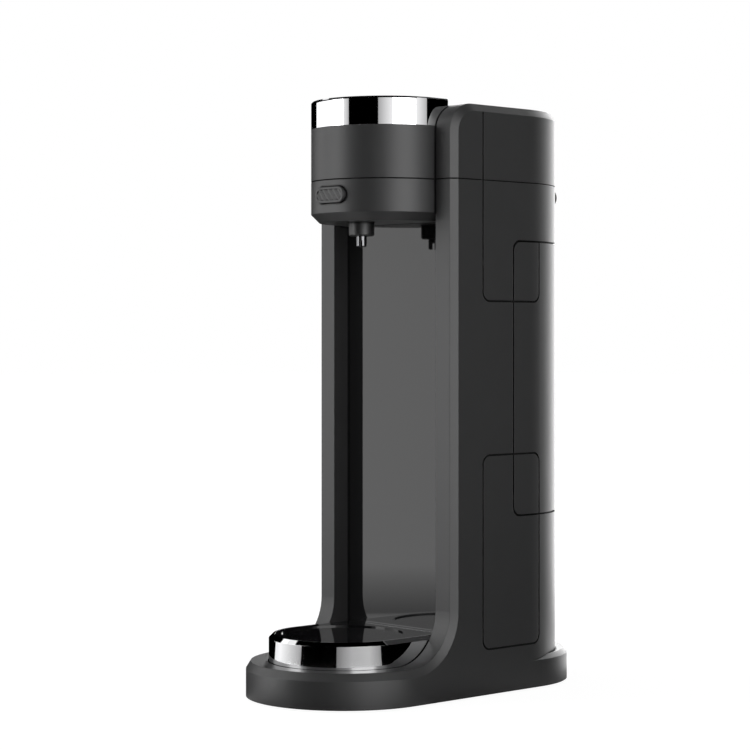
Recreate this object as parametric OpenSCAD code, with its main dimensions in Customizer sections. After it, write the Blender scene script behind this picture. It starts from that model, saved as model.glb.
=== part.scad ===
// Electric wine aerator: a free-standing column on a plinth, with a dispensing head that overhangs a
// lift-out drip tray. A gear pump draws wine in through a spigot on the back, pushes it through an aerator
// and out of the nozzle. Millimetres, +Z up, front towards -Y, origin on the table under the plinth.

/* [Plinth] */
// Width of the plinth and of the column
body_w = 127; // [120:0.5:138]
// Gap that the non-slip pad leaves under the plinth
pad_gap = 1.2; // [0.6:0.1:3]
// Height of the front deck above the plinth's lower edge
deck_h = 22.4; // [20.5:0.1:27]
// Height of the rear deck above the plinth's lower edge
rear_deck_h = 20.3; // [18.5:0.1:22]
// Width of the edge chamfer, in from the sides
edge_in = 3; // [2:0.1:4]
// Height of the edge chamfer, along the sides
edge_drop = 4.8; // [3:0.1:6]
// Chamfer round the rear deck
rear_edge = 2.8; // [1:0.1:4]
// Radius of the sweep from the arms into the deck
foot_sweep_r = 33; // [20:0.5:40]
// Straight run between that sweep and the plinth's round front
front_run = 0.9; // [0.5:0.1:12]
// Centre of the plinth's round rear end, behind the origin
plinth_rear = 58.3; // [55:0.1:70]
// Wall of the housing mouldings
wall = 3; // [2.6:0.1:3.6]

/* [Column] */
// Height of the column's top above the plinth's lower edge
column_h = 377.4; // [368:0.2:390]
// Height of the top cover, from the parting line to the column's top
cover_h = 48.7; // [44:0.1:52]
// Front face of the arms, ahead of the origin
column_front = 24.4; // [20:0.1:28]
// Centre of the column's round back, behind the origin
column_back = 46.5; // [42:0.1:52]
// Radius of the column's top front edge
top_front_r = 19; // [12:0.5:22]
// Depth of the head's neck behind the arm fronts
neck_set_back = 5.6; // [3:0.1:8]
// Clear width between the arms
channel_w = 95.8; // [94:0.2:100]
// Depth of the gloss panel behind the arm fronts
channel_d = 13; // [10:0.1:16]
// Thickness of the gloss panel
panel_t = 3; // [2:0.1:4]
// Height of the shadow groove at the parting line
seam_h = 0.7; // [0.3:0.1:1.2]
// Depth of that shadow groove
seam_d = 0.8; // [0.4:0.1:1.2]

/* [Side grooves] */
// Width of the side grooves
groove_w = 1.3; // [0.8:0.1:2]
// Depth of the side grooves
groove_d = 0.8; // [0.4:0.1:1.2]
// Corner radius of the grooves
groove_r = 6; // [3:0.5:10]
// Front line of the grooves, behind the origin
groove_front = 2.7; // [0:0.1:6]
// Rear line of the grooves, behind the origin
groove_rear = 56.2; // [52:0.1:62]
// Lower line of the upper groove, below the parting line
upper_groove_drop = 77; // [64:0.1:98]
// Lower line of the lower groove, above the plinth's lower edge
lower_groove_h0 = 29; // [28:0.1:40]
// Upper line of the lower groove
lower_groove_h1 = 153.1; // [140:0.1:170]

/* [Rear cover] */
// Front edge of the rear cover, behind the origin
rear_cover_front = 31.06; // [26:0.1:36]
// Lower edge of the rear cover, above the plinth's lower edge
rear_cover_h = 113.1; // [100:0.1:125]
// Upper edge of the rear cover, below the parting line
rear_cover_drop = 37.8; // [31:0.1:53]
// Thickness of the cover's rim in its rebate
rebate_t = 1.5; // [1.2:0.1:1.8]
// Width of the ledge behind that rim
ledge_w = 4; // [3:0.1:6]

/* [Head] */
// Gap between the head and each arm
head_gap = 0.5; // [0.3:0.1:3]
// Centre of that round front, ahead of the origin
head_centre = 24.1; // [23:0.1:30]
// Underside of the head below the parting line
head_drop = 26.1; // [25:0.1:32]
// Chamfer round the head's underside
head_chamfer = 5.4; // [3:0.1:6]
// Wall of the head shells
head_wall = 2.6; // [2.2:0.1:3]
// Lower edge of the chrome band above the parting line
band_rise = 34.3; // [28:0.1:37]
// Height of the chrome band
band_h = 17.9; // [14:0.1:22]
// Rear end of the chrome band, ahead of the origin
band_rear = 12.7; // [9.8:0.1:14]
// Wall of the chrome band
band_wall = 2.5; // [1.5:0.1:3]
// Thickness of the lid
lid_t = 3; // [2:0.1:4]
// Drop of the lid below the band's rim
lid_drop = 1; // [0.4:0.1:2]

/* [Dispense button] */
// Width of the button's face
button_w = 26.5; // [24:0.5:32]
// Height of the button's face
button_h = 10.4; // [8:0.2:12]
// Centre of the button below the parting line
button_drop = 9.5; // [9:0.1:12.5]
// How far the button stands proud of the head
button_proud = 1; // [0.6:0.1:2]
// Travel of the button
button_travel = 1.5; // [1:0.1:2]
// Chamfer round the button's face
button_chamfer = 0.4; // [0.3:0.1:1.2]
// Ridges across the button's face
ridge_count = 5; // [4:1:9]

/* [Nozzle and aerator] */
// Nozzle axis, ahead of the origin
nozzle_at = 44.1; // [42:0.1:46]
// Radius of the nozzle collar
collar_r = 8.3; // [7.8:0.1:10]
// Drop of the nozzle collar under the head
collar_h = 8.9; // [6:0.1:12]
// Radius of the nozzle tip
tip_r = 3.45; // [3.2:0.05:4]
// Drop of the nozzle tip under its collar
tip_h = 6.9; // [5:0.1:10]
// Radius of the aerator chamber
aerator_r = 7.5; // [6.5:0.1:8]

/* [Wine path] */
// Axis of the hose spigot below the parting line
hose_drop = 3; // [1:0.1:5.5]
// Radius of the hose spigot
spigot_r = 6.2; // [5.6:0.1:7]
// Length of the hose spigot behind the column
spigot_l = 27; // [20:0.5:34]
// Outer radius of the wine tubes
tube_r = 4.5; // [4:0.1:5]
// Inner radius of the wine tubes
tube_bore_r = 3; // [2.5:0.1:3.2]

/* [Pump] */
// Teeth on each pump gear
gear_teeth = 12; // [10:1:14]
// Module of the pump gears
gear_module = 1.5; // [1.3:0.05:1.6]
// Width of the pump gears
gear_t = 10; // [8:0.5:12]
// Middle of the pump, behind the origin
pump_at = 33; // [31:0.5:38]
// Wall of the pump housing
pump_wall = 3.6; // [3:0.1:5]
// Radius of the motor's can
motor_r = 13.8; // [12:0.1:14.5]
// Length of the motor's can
motor_l = 38; // [30:0.5:45]
// Radius of the motor's shaft
shaft_r = 1.15; // [1:0.05:1.5]
// Thickness of the shelf under the pump
shelf_t = 3; // [2:0.1:4]

/* [Power] */
// Radius of a battery cell
cell_r = 9.2; // [8.5:0.1:10]
// Length of a battery cell
cell_l = 65; // [50:0.5:70]
// Floor of the battery holder above the plinth's lower edge
battery_h = 34; // [25:0.5:45]
// Width of the control board
board_w = 62; // [50:0.5:70]
// Height of the control board
board_l = 70; // [60:0.5:80]
// Lower edge of the control board above the plinth's lower edge
board_h = 128; // [126:0.5:140]
// Radius of the leads
lead_r = 1.3; // [1:0.1:1.6]

/* [Drip tray] */
// Gap between the tray and the arms on each side
tray_gap = 0.7; // [0.3:0.05:1]
// Centre of the tray's round front, ahead of the origin
tray_centre = 60.6; // [54:0.1:62]
// Height of the tray's top above the deck
tray_h = 17.1; // [14:0.1:22]
// Depth of the tray's seat in the deck
seat_d = 1.5; // [0.8:0.1:2]
// Chamfer round the tray's rim
tray_chamfer = 2.5; // [1.5:0.1:3]
// Wall of the tray ring
tray_wall = 4; // [3.6:0.1:6]
// Thickness of the tray plate
plate_t = 3; // [2:0.1:4]
// Radius of the dish that locates a glass foot
dish_r = 39; // [34:0.5:42]
// Depth of that dish
dish_d = 0.8; // [0.4:0.1:1.2]

/* [Hidden] */
$fn = 96;

// Clearances of seated pieces, moving pieces, butted pieces and pieces near a wall, and the overlap of cuts
fit = 0.05;
play = 0.3;
joint_gap = 0.2;
wall_gap = 0.6;
over = 1;

// Levels
base_z = pad_gap;
deck_z = base_z + deck_h;
rim_z = deck_z - edge_drop;
rear_deck_z = base_z + rear_deck_h;
ceiling_z = rear_deck_z - wall;
top_z = base_z + column_h;
split_z = top_z - cover_h;
head_z = split_z - head_drop;
head_floor_z = head_z + wall;
band_z = split_z + band_rise;
band_top_z = band_z + band_h;
hose_z = split_z - hose_drop;
button_z = split_z - button_drop;
rear_cover_z0 = base_z + rear_cover_h;
rear_cover_z1 = split_z - rear_cover_drop;

// Half width and front to back
half_w = body_w / 2;
front_y = -column_front;
sweep_y = front_y - foot_sweep_r;
sweep_z = deck_z + foot_sweep_r;
nose_y = sweep_y - front_run;
panel_y = front_y + channel_d;
panel_back_y = panel_y + panel_t;
web_y = panel_back_y + wall;
neck_y = front_y + neck_set_back;
back_y = column_back + half_w;
head_r = channel_w / 2 - head_gap;
head_y = -head_centre;
hollow_y = front_y + head_wall;
head_front_y = head_y - head_r;
nozzle_y = -nozzle_at;

// Screws: shank radius, head radius, head height and the height of a flat head
screw_r = 1.5;
screw_head_r = 2.9;
screw_head_h = 2;
flat_head_h = 1;
boss_r = 4.5;

// Opening from the column into the head for the wine tube and the switch lead
duct_w = 44;
duct_rise = 10;
duct_z0 = head_floor_z;
duct_z1 = hose_z + duct_rise;

// Neck screws: across the neck, below and above the parting line
neck_screw_x = 34;
neck_screw_bite = 9;
neck_screw_l = wall + neck_screw_bite;
neck_screw_drop = 11;
neck_screw_rise = 14;
neck_screw_z = [split_z - neck_screw_drop, split_z + neck_screw_rise];

// Top cover screws stand in bosses on the inner wall
cover_boss_h = 12;
cover_boss_in = 3.2;
cover_boss_at = half_w - wall - cover_boss_in;
cover_boss_a = 48;
cover_boss_y = web_y + boss_r + wall_gap;
cover_screw_l = 1.5 * cover_boss_h;
cover_boss_points = [
    for (s = [-1, 1]) [s * cover_boss_at, cover_boss_y],
    for (s = [-1, 1]) [s * cover_boss_at * sin(cover_boss_a), column_back + cover_boss_at * cos(cover_boss_a)]
];

// Bottom plate, its screws and the non-slip pad under it
bottom_t = 3.5;
bottom_screw_l = 10;
pad_seat = 1;
pad_in = 9;
bottom_screw_z = base_z + pad_seat + flat_head_h + fit;
bottom_front_x = 30;
bottom_front_run = 36;
bottom_front_y = nose_y - bottom_front_run;
bottom_rear_x = 25;
bottom_rear_run = sqrt(pow(half_w - wall, 2) - pow(bottom_rear_x, 2));
bottom_rear_y = (column_back + plinth_rear) / 2 + bottom_rear_run;
bottom_points = [
    for (s = [-1, 1]) [s * bottom_front_x, bottom_front_y],
    for (s = [-1, 1]) [s * bottom_rear_x, bottom_rear_y]
];

// Pump gears: pressure angle, backlash and tooth heights in modules
gear_a = 28;
gear_backlash = 0.24;
gear_addendum = 0.85;
gear_dedendum = 1.12;
gear_r = gear_teeth * gear_module / 2;
gear_base_r = gear_r * cos(gear_a);
gear_tip_r = gear_r + gear_addendum * gear_module;
gear_root_r = gear_r - gear_dedendum * gear_module;
gear_half_a = (PI * gear_module / 2 - gear_backlash) / (2 * gear_r) * 180 / PI;
flank_steps = 4;
gear_x = gear_r;

// Pump block
pump_bore_r = gear_tip_r + play;
pump_half_w = gear_x + pump_bore_r + pump_wall;
pump_half_d = pump_bore_r + pump_wall;
pump_y0 = pump_at - pump_half_d;
pump_y1 = pump_at + pump_half_d;
pump_floor_z = hose_z - gear_t / 2 - play - pump_wall;
pump_rim_z = hose_z + gear_t / 2 + play;
pump_cover_t = 3;
pump_top_z = pump_rim_z + pump_cover_t;
pump_screw_l = 12;
pump_screw_in = 3.4;
pump_screw_points = [
    for (sx = [-1, 1]) for (sy = [-1, 1])
        [sx * (pump_half_w - pump_screw_in), pump_at + sy * (pump_half_d - pump_screw_in)]
];
pin_r = 1.6;
port_r = 2;
barb_r = tube_bore_r - fit;
barb_l = 10;

// Motor
motor_z0 = pump_floor_z - motor_l;
motor_edge = 1.2;
motor_boss_r = 4;
motor_boss_h = 2;
shaft_in = 20;

// Shelf that carries the pump, on ledges of the side walls
shelf_rim = 4;
shelf_z = pump_floor_z - shelf_t;
shelf_y0 = pump_y0 - shelf_rim;
shelf_y1 = pump_y1 + shelf_rim;
shelf_half_w = sqrt(pow(half_w - wall, 2) - pow(max(0, shelf_y1 - column_back), 2)) - wall_gap;
shelf_ledge_w = 9;
shelf_ledge_h = 10;
shelf_screw_l = 8;
shelf_screw_in = 4.5;
shelf_screw_x = half_w - wall - shelf_ledge_w / 2;
shelf_points = [
    for (s = [-1, 1]) for (y = [shelf_y0 + shelf_screw_in, column_back - shelf_screw_in])
        [s * shelf_screw_x, y]
];

// Hose spigot and its grommet in the back wall
grommet_wall = 1.8;
grommet_lip_w = 2.4;
grommet_lip_t = 1.8;
grommet_r = spigot_r + grommet_wall;
grommet_lip_r = grommet_r + grommet_lip_w;
back_sag = half_w - wall - sqrt(pow(half_w - wall, 2) - pow(grommet_lip_r, 2)) + fit;
spigot_flange_r = grommet_lip_r - wall_gap;
spigot_flange_t = 2.4;
spigot_flange_y = back_y - wall - back_sag - grommet_lip_t - spigot_flange_t;
spigot_end_y = back_y + spigot_l;
spigot_y0 = back_y + grommet_lip_t + fit;
spigot_step = 0.6;
spigot_neck_r = spigot_r - spigot_step;
spigot_bore_r = 2.8;
spigot_edge = 1;

// Nozzle and aerator
collar_step = 2.2;
collar_neck_r = collar_r - collar_step;
collar_neck_rise = 6.5;
collar_neck_h = wall + collar_neck_rise;
collar_edge = 0.8;
collar_bore_r = 2.4;
nut_h = 3;
nut_rim = 3.4;
nut_r = collar_neck_r + nut_rim;
aerator_wall = 1.8;
aerator_rise = 8;
aerator_z0 = head_z + collar_neck_h;
aerator_z1 = hose_z + aerator_rise;
aerator_plug_h = 5;
aerator_plug_r = collar_neck_r - aerator_wall;
tip_edge = 0.6;
tip_bore_r = 1.6;
tip_slot_w = 1.3;
tip_slot_h = 0.6 * tip_h;
air_stub_l = 3;
air_bore_r = 1;
valve_r = 3.2;
valve_l = 5;

// Dispense button, its spring and its switch
button_y = head_front_y - button_proud;
head_inner_r = head_r - head_wall;
flange_rim = 2;
flange_w = button_w + 2 * flange_rim;
flange_h = button_h + 2 * flange_rim;
flange_t = 1.5;
flange_y = head_y - sqrt(pow(head_inner_r, 2) - pow(flange_w / 2, 2)) + play;
stem_r = 3;
stem_l = 2.2;
stem_end_y = flange_y + flange_t + stem_l;
switch_half = 3;
switch_t = 4.6;
switch_y = stem_end_y + button_travel + play;
bracket_t = 2;
bracket_half_w = 9;
bracket_rise = 7;
bracket_foot_l = 7;
bracket_y = switch_y + switch_t;
bracket_rear_y = bracket_y + bracket_t;
spring_turns = 4.5;
spring_sides = 8;
spring_wire_r = 0.4;
spring_r = 5.4;
spring_y = flange_y + flange_t;
spring_l = bracket_y - spring_y;
plunger_r = 1.7;
plunger_in = 2.2;
ridge_a = 38;
ridge_d = 0.5;
ridge_rim = 1.6;
ridge_face_w = button_w - 2 * ridge_rim;
ridge_face_h = button_h - 2 * ridge_rim;

// Battery
holder_wall = 2;
cell_gap = 1;
cell_x = cell_r + cell_gap;
holder_w = 2 * (cell_x + cell_r + cell_gap / 2 + holder_wall);
holder_d = 2 * cell_r + holder_wall;
holder_l = cell_l + 2 * holder_wall + 2 * joint_gap;
battery_z = base_z + battery_h;
battery_top_z = battery_z + holder_l;
holder_screw_in = 12;
holder_screw_l = holder_wall + wall - wall_gap;
holder_points = [for (z = [battery_z + holder_screw_in, battery_top_z - holder_screw_in]) [0, z]];

// Control board on standoffs, with its plugs, chip and capacitor
standoff_l = 6;
standoff_r = 3;
board_t = 1.6;
board_z = base_z + board_h;
board_top_z = board_z + board_l;
board_mid_z = board_z + board_l / 2;
board_y = web_y + standoff_l;
board_face_y = board_y + board_t;
board_in = 4;
board_points = [
    for (s = [-1, 1]) for (z = [board_z + board_in, board_top_z - board_in]) [s * (board_w / 2 - board_in), z]
];
wall_screw_l = 5;
plug_w = 8;
plug_d = 6;
plug_h = 5;
plug_in = 2;
plug_y = board_face_y + plug_d / 2;
battery_plug_x = -14;
charge_plug_x = 18;
motor_plug_x = -16;
switch_plug_x = 16;
chip_half = 7;
chip_t = 1.6;
capacitor_r = 4;
capacitor_l = 9;

// Charging socket on its board
socket_w = 9;
socket_h = 3.3;
socket_l = 7.5;
socket_shell = 0.5;
socket_floor = 1.5;
socket_in = 0.8;
charge_post_h = 3;
charge_post_r = 2.5;
charge_board_t = 1.6;
charge_board_w = 20;
charge_board_l = 18;
charge_board_z = base_z + bottom_t + charge_post_h;
charge_board_y1 = plinth_rear + sqrt(pow(half_w - wall, 2) - pow(charge_board_w / 2, 2)) - wall_gap;
charge_board_y0 = charge_board_y1 - charge_board_l;
charge_post_x = charge_board_w / 2 - charge_post_r;
charge_post_y = (charge_board_y0 + charge_board_y1) / 2;
socket_z = charge_board_z + charge_board_t + socket_h / 2;
plinth_back_y = plinth_rear + half_w;
socket_end_y = plinth_back_y - socket_in;

// Leads: sides of a lead, steps of a bend and the straight run out of a plug
lead_sides = 8;
lead_steps = 4;
lead_run = 12;

// Chrome band
band_edge = 0.8;
band_ledge = 2.5;
lid_z1 = band_top_z - lid_drop;
lid_z0 = lid_z1 - lid_t;

// Tray
tray_r = channel_w / 2 - tray_gap;
tray_y = -tray_centre;
tray_back_y = panel_y - tray_gap;
tray_z0 = deck_z - seat_d;
tray_z1 = deck_z + tray_h;
tray_ledge = 2;

// Shared shapes

module along_x(x0, x1) {
    translate([x0, 0, 0]) rotate([90, 0, 90]) linear_extrude(x1 - x0) children();
}

module along_y(y0, y1) {
    translate([0, y1, 0]) rotate([90, 0, 0]) linear_extrude(y1 - y0) children();
}

module between_z(z0, z1) {
    translate([0, 0, z0]) linear_extrude(z1 - z0) children();
}

module box(x0, x1, y0, y1, z0, z1) {
    translate([x0, y0, z0]) cube([x1 - x0, y1 - y0, z1 - z0]);
}

module rod_x(x0, x1, y, z, r, r2 = undef) {
    translate([x0, y, z]) rotate([0, 90, 0]) cylinder(h = x1 - x0, r1 = r, r2 = is_undef(r2) ? r : r2);
}

module rod_y(y0, y1, x, z, r, r2 = undef) {
    translate([x, y0, z]) rotate([-90, 0, 0]) cylinder(h = y1 - y0, r1 = r, r2 = is_undef(r2) ? r : r2);
}

module rod_z(z0, z1, x, y, r, r2 = undef) {
    translate([x, y, z0]) cylinder(h = z1 - z0, r1 = r, r2 = is_undef(r2) ? r : r2);
}

module both_sides() {
    for (s = [0, 1]) mirror([s, 0, 0]) children();
}

// A screw whose shank runs down from the origin and whose head stands on it
module screw(l, head_h = screw_head_h) {
    translate([0, 0, -l]) cylinder(h = l, r = screw_r);
    cylinder(h = head_h, r = screw_head_r);
}

module rounded_rect(x0, x1, y0, y1, r) {
    translate([x0 + r, y0]) square([x1 - x0 - 2 * r, y1 - y0]);
    translate([x0, y0 + r]) square([x1 - x0, y1 - y0 - 2 * r]);
    for (x = [x0 + r, x1 - r]) for (y = [y0 + r, y1 - r]) translate([x, y]) circle(r);
}

// A stadium lying along X
module slot(w, h) {
    for (s = [-1, 1]) translate([s * (w - h) / 2, 0]) circle(h / 2);
    square([w - h, h], center = true);
}

// Round front and straight sides that run back to a flat end
module u_plan(r, centre_y, end_y) {
    intersection() {
        translate([0, centre_y]) circle(r);
        translate([-r - over, centre_y - r - over]) square([2 * (r + over), r + over]);
    }
    translate([-r, centre_y]) square([2 * r, end_y - centre_y]);
}

// Slice of that plan whose edge slopes from one radius to another
module u_slope(r0, r1, centre_y, end_y, z0, z1) {
    r = max(r0, r1);
    intersection() {
        union() {
            rod_z(z0, z1, 0, centre_y, r0, r1);
            along_y(centre_y, end_y) polygon([[-r0, z0], [-r1, z1], [r1, z1], [r0, z0]]);
        }
        box(-r, r, centre_y - r, end_y, z0, z1);
    }
}

// Sweeps a round tube along points, with rings square to the route
function lead_dir(p, i) = let (
    a = p[max(0, i - 1)],
    b = p[min(len(p) - 1, i + 1)]
) (b - a) / norm(b - a);
function lead_side(d) = abs(d[0]) > 0.9 ? [0, 1, 0] : [1, 0, 0];
function lead_ring(p, i, r, n) = let (
    d = lead_dir(p, i),
    u0 = cross(d, lead_side(d)),
    u = u0 / norm(u0),
    v = cross(d, u)
) [for (k = [0 : n - 1]) p[i] + r * (cos(360 * k / n) * u + sin(360 * k / n) * v)];

module lead(p, r, n = lead_sides) {
    m = len(p);
    polyhedron(
        points = [for (i = [0 : m - 1]) each lead_ring(p, i, r, n)],
        faces = [
            [for (k = [0 : n - 1]) k],
            for (i = [0 : m - 2]) for (k = [0 : n - 1]) each [
                [i * n + k, (i + 1) * n + k, i * n + (k + 1) % n],
                [i * n + (k + 1) % n, (i + 1) * n + k, (i + 1) * n + (k + 1) % n]
            ],
            [for (k = [n - 1 : -1 : 0]) (m - 1) * n + k]
        ]
    );
}

// Smooth curve through a route's points
function bend(a, b, c, d, t) = 0.5 * (2 * b + (c - a) * t + (2 * a - 5 * b + 4 * c - d) * t * t
    + (3 * b - a - 3 * c + d) * t * t * t);
function route(p) = let (m = len(p)) [
    for (i = [0 : m - 2]) for (k = [0 : lead_steps - 1])
        bend(p[max(0, i - 1)], p[i], p[i + 1], p[min(m - 1, i + 2)], k / lead_steps),
    p[m - 1]
];

// Plans

module plinth_plan(inset = 0) {
    r = half_w - inset;
    for (y = [nose_y, plinth_rear]) translate([0, y]) circle(r);
    translate([-r, nose_y]) square([2 * r, plinth_rear - nose_y]);
}

module column_plan(inset = 0) {
    r = half_w - inset;
    y0 = front_y + inset;
    translate([0, column_back]) circle(r);
    polygon([
        [-r, column_back], [-r, y0 + edge_drop], [edge_in - r, y0],
        [r - edge_in, y0], [r, y0 + edge_drop], [r, column_back]
    ]);
}

module column_hollow_plan() {
    difference() {
        column_plan(wall);
        translate([-channel_w / 2 - wall, front_y - over])
            square([channel_w + 2 * wall, web_y - front_y + over]);
    }
}

module rear_hollow_plan() {
    intersection() {
        column_plan(wall);
        translate([-half_w, web_y]) square([body_w, back_y - web_y]);
    }
}

// Skin of the column between two depths under its surface
module column_skin(d0, d1, z0, z1) {
    between_z(z0, z1) difference() {
        column_plan(d0);
        column_plan(d1);
    }
}

// Side grooves and the rear cover's outline, drawn in the plane of the side and cut through both sides

module rear_cover_outline(grow) {
    rounded_rect(rear_cover_front - grow, back_y + groove_r + over, rear_cover_z0 - grow,
        rear_cover_z1 + grow, groove_r);
}

module groove_loop(y0, y1, z0, z1) {
    g = groove_w / 2;
    difference() {
        rounded_rect(y0 - g, y1 + g, z0 - g, z1 + g, groove_r + g);
        rounded_rect(y0 + g, y1 - g, z0 + g, z1 - g, groove_r - g);
    }
}

module groove_lines() {
    groove_loop(groove_front, groove_rear, base_z + lower_groove_h0, base_z + lower_groove_h1);
    difference() {
        groove_loop(groove_front, groove_rear, split_z - upper_groove_drop, top_z + 2 * groove_r);
        translate([rear_cover_front, rear_cover_z1]) square([back_y, column_h]);
    }
}

module side_grooves() {
    intersection() {
        along_x(-half_w - over, half_w + over) groove_lines();
        between_z(deck_z, top_z - edge_drop) difference() {
            column_plan(-over);
            column_plan(groove_d);
        }
    }
}

// Housing

// Straight stretch of the plinth from a deck down, with chamfered edges
module plinth_run(y0, y1, deck, in, drop) {
    x0 = half_w - in;
    along_y(y0, y1) polygon([
        [-half_w, base_z], [-half_w, deck - drop], [-x0, deck], [x0, deck], [half_w, deck - drop],
        [half_w, base_z]
    ]);
}

// Round end of the plinth from a deck down, with a chamfered edge
module plinth_end(y, deck, in, drop) {
    rod_z(base_z, deck - drop, 0, y, half_w);
    rod_z(deck - drop, deck, 0, y, half_w, half_w - in);
}

module plinth_block() {
    plinth_end(nose_y, deck_z, edge_in, edge_drop);
    plinth_run(nose_y, front_y + edge_drop, deck_z, edge_in, edge_drop);
    box(-half_w, half_w, front_y, plinth_rear, base_z, min(rim_z, rear_deck_z - rear_edge));
    plinth_run(0, plinth_rear, rear_deck_z, rear_edge, rear_edge);
    plinth_end(plinth_rear, rear_deck_z, rear_edge, rear_edge);
}

// Concave sweep from the arms into the deck, with a conical chamfer at each side
module foot_sweep() {
    x0 = half_w - edge_in;
    flare = edge_drop * (edge_in + over) / edge_in;
    difference() {
        box(-half_w, half_w, sweep_y, front_y + edge_drop, base_z, sweep_z);
        rod_x(-x0, x0, sweep_y, sweep_z, foot_sweep_r);
        both_sides() rod_x(x0, half_w + over, sweep_y, sweep_z, foot_sweep_r, foot_sweep_r + flare);
    }
}

module lower_bosses() {
    for (p = bottom_points) rod_z(base_z + bottom_t, ceiling_z + over, p[0], p[1], boss_r);
    for (p = cover_boss_points) rod_z(split_z - cover_boss_h, split_z, p[0], p[1], boss_r);
    for (p = board_points) rod_y(web_y - over, web_y + standoff_l, p[0], p[1], standoff_r);
    both_sides() box(half_w - wall - shelf_ledge_w, half_w - wall + over, shelf_y0, column_back,
        shelf_z - shelf_ledge_h, shelf_z);
}

module lower_screw_holes() {
    for (p = bottom_points) rod_z(base_z, bottom_screw_z + bottom_screw_l + fit, p[0], p[1], screw_r + fit);
    for (p = cover_boss_points)
        rod_z(split_z - cover_boss_h - over, split_z + over, p[0], p[1], screw_r + fit);
    for (p = board_points) rod_y(web_y - over, web_y + standoff_l + over, p[0], p[1], screw_r + fit);
    for (p = holder_points) rod_y(panel_back_y, web_y + over, p[0], p[1], screw_r + fit);
    for (p = shelf_points) rod_z(shelf_z - shelf_screw_l, shelf_z + over, p[0], p[1], screw_r + fit);
    both_sides() rod_y(panel_back_y - over, web_y + over, neck_screw_x, neck_screw_z[0], screw_r + fit);
}

module duct() {
    box(-duct_w / 2, duct_w / 2, front_y - over, web_y + over, duct_z0, duct_z1);
}

module grommet_hole() {
    rod_y(column_back, back_y + over, 0, hose_z, grommet_r + fit);
}

module socket_hole() {
    translate([0, 0, socket_z]) along_y(plinth_rear, plinth_back_y + over)
        slot(socket_w + play, socket_h + play);
}

module lower_body() {
    color("#3c3c3e") difference() {
        union() {
            difference() {
                union() {
                    plinth_block();
                    foot_sweep();
                    between_z(base_z, split_z) column_plan();
                }
                between_z(base_z - over, ceiling_z) plinth_plan(wall);
                between_z(ceiling_z - over, split_z + over) column_hollow_plan();
            }
            intersection() {
                lower_bosses();
                union() {
                    between_z(base_z, ceiling_z + over) plinth_plan(wall / 2);
                    between_z(base_z, split_z) column_plan(wall / 2);
                }
            }
        }
        box(-channel_w / 2, channel_w / 2, nose_y - body_w, panel_back_y, deck_z, split_z + over);
        between_z(tray_z0, deck_z + over) u_plan(tray_r + tray_gap, tray_y, panel_y);
        duct();
        grommet_hole();
        socket_hole();
        lower_screw_holes();
        side_grooves();
        intersection() {
            along_x(-half_w - over, half_w + over) rear_cover_outline(groove_w / 2);
            column_skin(-over, rebate_t, base_z, split_z);
        }
        intersection() {
            along_x(-half_w - over, half_w + over) rear_cover_outline(-ledge_w);
            column_skin(rebate_t - over, wall + over, base_z, split_z);
        }
    }
}

module rear_cover() {
    color("#3a3a3c") difference() {
        union() {
            intersection() {
                along_x(-half_w - over, half_w + over) rear_cover_outline(-groove_w / 2);
                column_skin(0, rebate_t - fit, base_z, split_z);
            }
            intersection() {
                along_x(-half_w - over, half_w + over) rear_cover_outline(-ledge_w - play);
                column_skin(rebate_t / 2, wall, base_z, split_z);
            }
        }
        side_grooves();
    }
}

// Upper column with chamfered sides and back and a rounded top front edge
module top_block() {
    cy = front_y + top_front_r;
    cz = top_z - top_front_r;
    x0 = half_w - edge_in;
    z0 = top_z - edge_drop;
    between_z(split_z, cz) column_plan();
    along_y(cy, column_back) polygon([
        [-half_w, split_z], [-half_w, z0], [-x0, top_z], [x0, top_z], [half_w, z0], [half_w, split_z]
    ]);
    rod_z(split_z, z0, 0, column_back, half_w);
    rod_z(z0, top_z, 0, column_back, half_w, x0);
    rod_x(-x0, x0, cy, cz, top_front_r);
    both_sides() rod_x(x0, half_w, cy, cz, top_front_r, top_front_r - edge_drop);
}

module top_cover() {
    color("#3c3c3e") difference() {
        union() {
            difference() {
                top_block();
                between_z(split_z - over, top_z - top_front_r - wall) column_hollow_plan();
                between_z(split_z - over, top_z - wall) rear_hollow_plan();
            }
            for (p = cover_boss_points) intersection() {
                rod_z(split_z, split_z + cover_boss_h, p[0], p[1], boss_r);
                between_z(split_z, top_z) column_plan(wall / 2);
            }
        }
        box(-channel_w / 2, channel_w / 2, front_y - over, panel_back_y, split_z - over, top_z + over);
        duct();
        grommet_hole();
        for (p = cover_boss_points)
            rod_z(split_z - over, split_z - cover_boss_h + cover_screw_l + over, p[0], p[1], screw_r + fit);
        both_sides() rod_y(panel_back_y - over, web_y + over, neck_screw_x, neck_screw_z[1], screw_r + fit);
        column_skin(-over, seam_d, split_z - over, split_z + seam_h);
        side_grooves();
    }
}

module mirror_panel() {
    color("#1c1c1f") box(-channel_w / 2 + joint_gap, channel_w / 2 - joint_gap, panel_y, panel_back_y,
        deck_z, head_z - joint_gap);
}

module bottom_plate() {
    color("#2c2c2e") difference() {
        union() {
            between_z(base_z, base_z + bottom_t) plinth_plan(wall + play);
            both_sides()
                rod_z(base_z, charge_board_z, charge_post_x, charge_post_y, charge_post_r);
        }
        for (p = bottom_points) {
            rod_z(base_z - over, base_z + bottom_t + over, p[0], p[1], screw_r + fit);
            rod_z(base_z - over, bottom_screw_z, p[0], p[1], screw_head_r + play);
        }
        between_z(base_z - over, base_z + pad_seat) plinth_plan(wall + play + pad_in);
    }
}

module bottom_screws() {
    color("silver") for (p = bottom_points)
        translate([p[0], p[1], bottom_screw_z]) rotate([180, 0, 0]) screw(bottom_screw_l, flat_head_h);
}

module base_pad() {
    color("#1a1a1a") between_z(0, base_z + pad_seat) plinth_plan(wall + 2 * play + pad_in);
}

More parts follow.
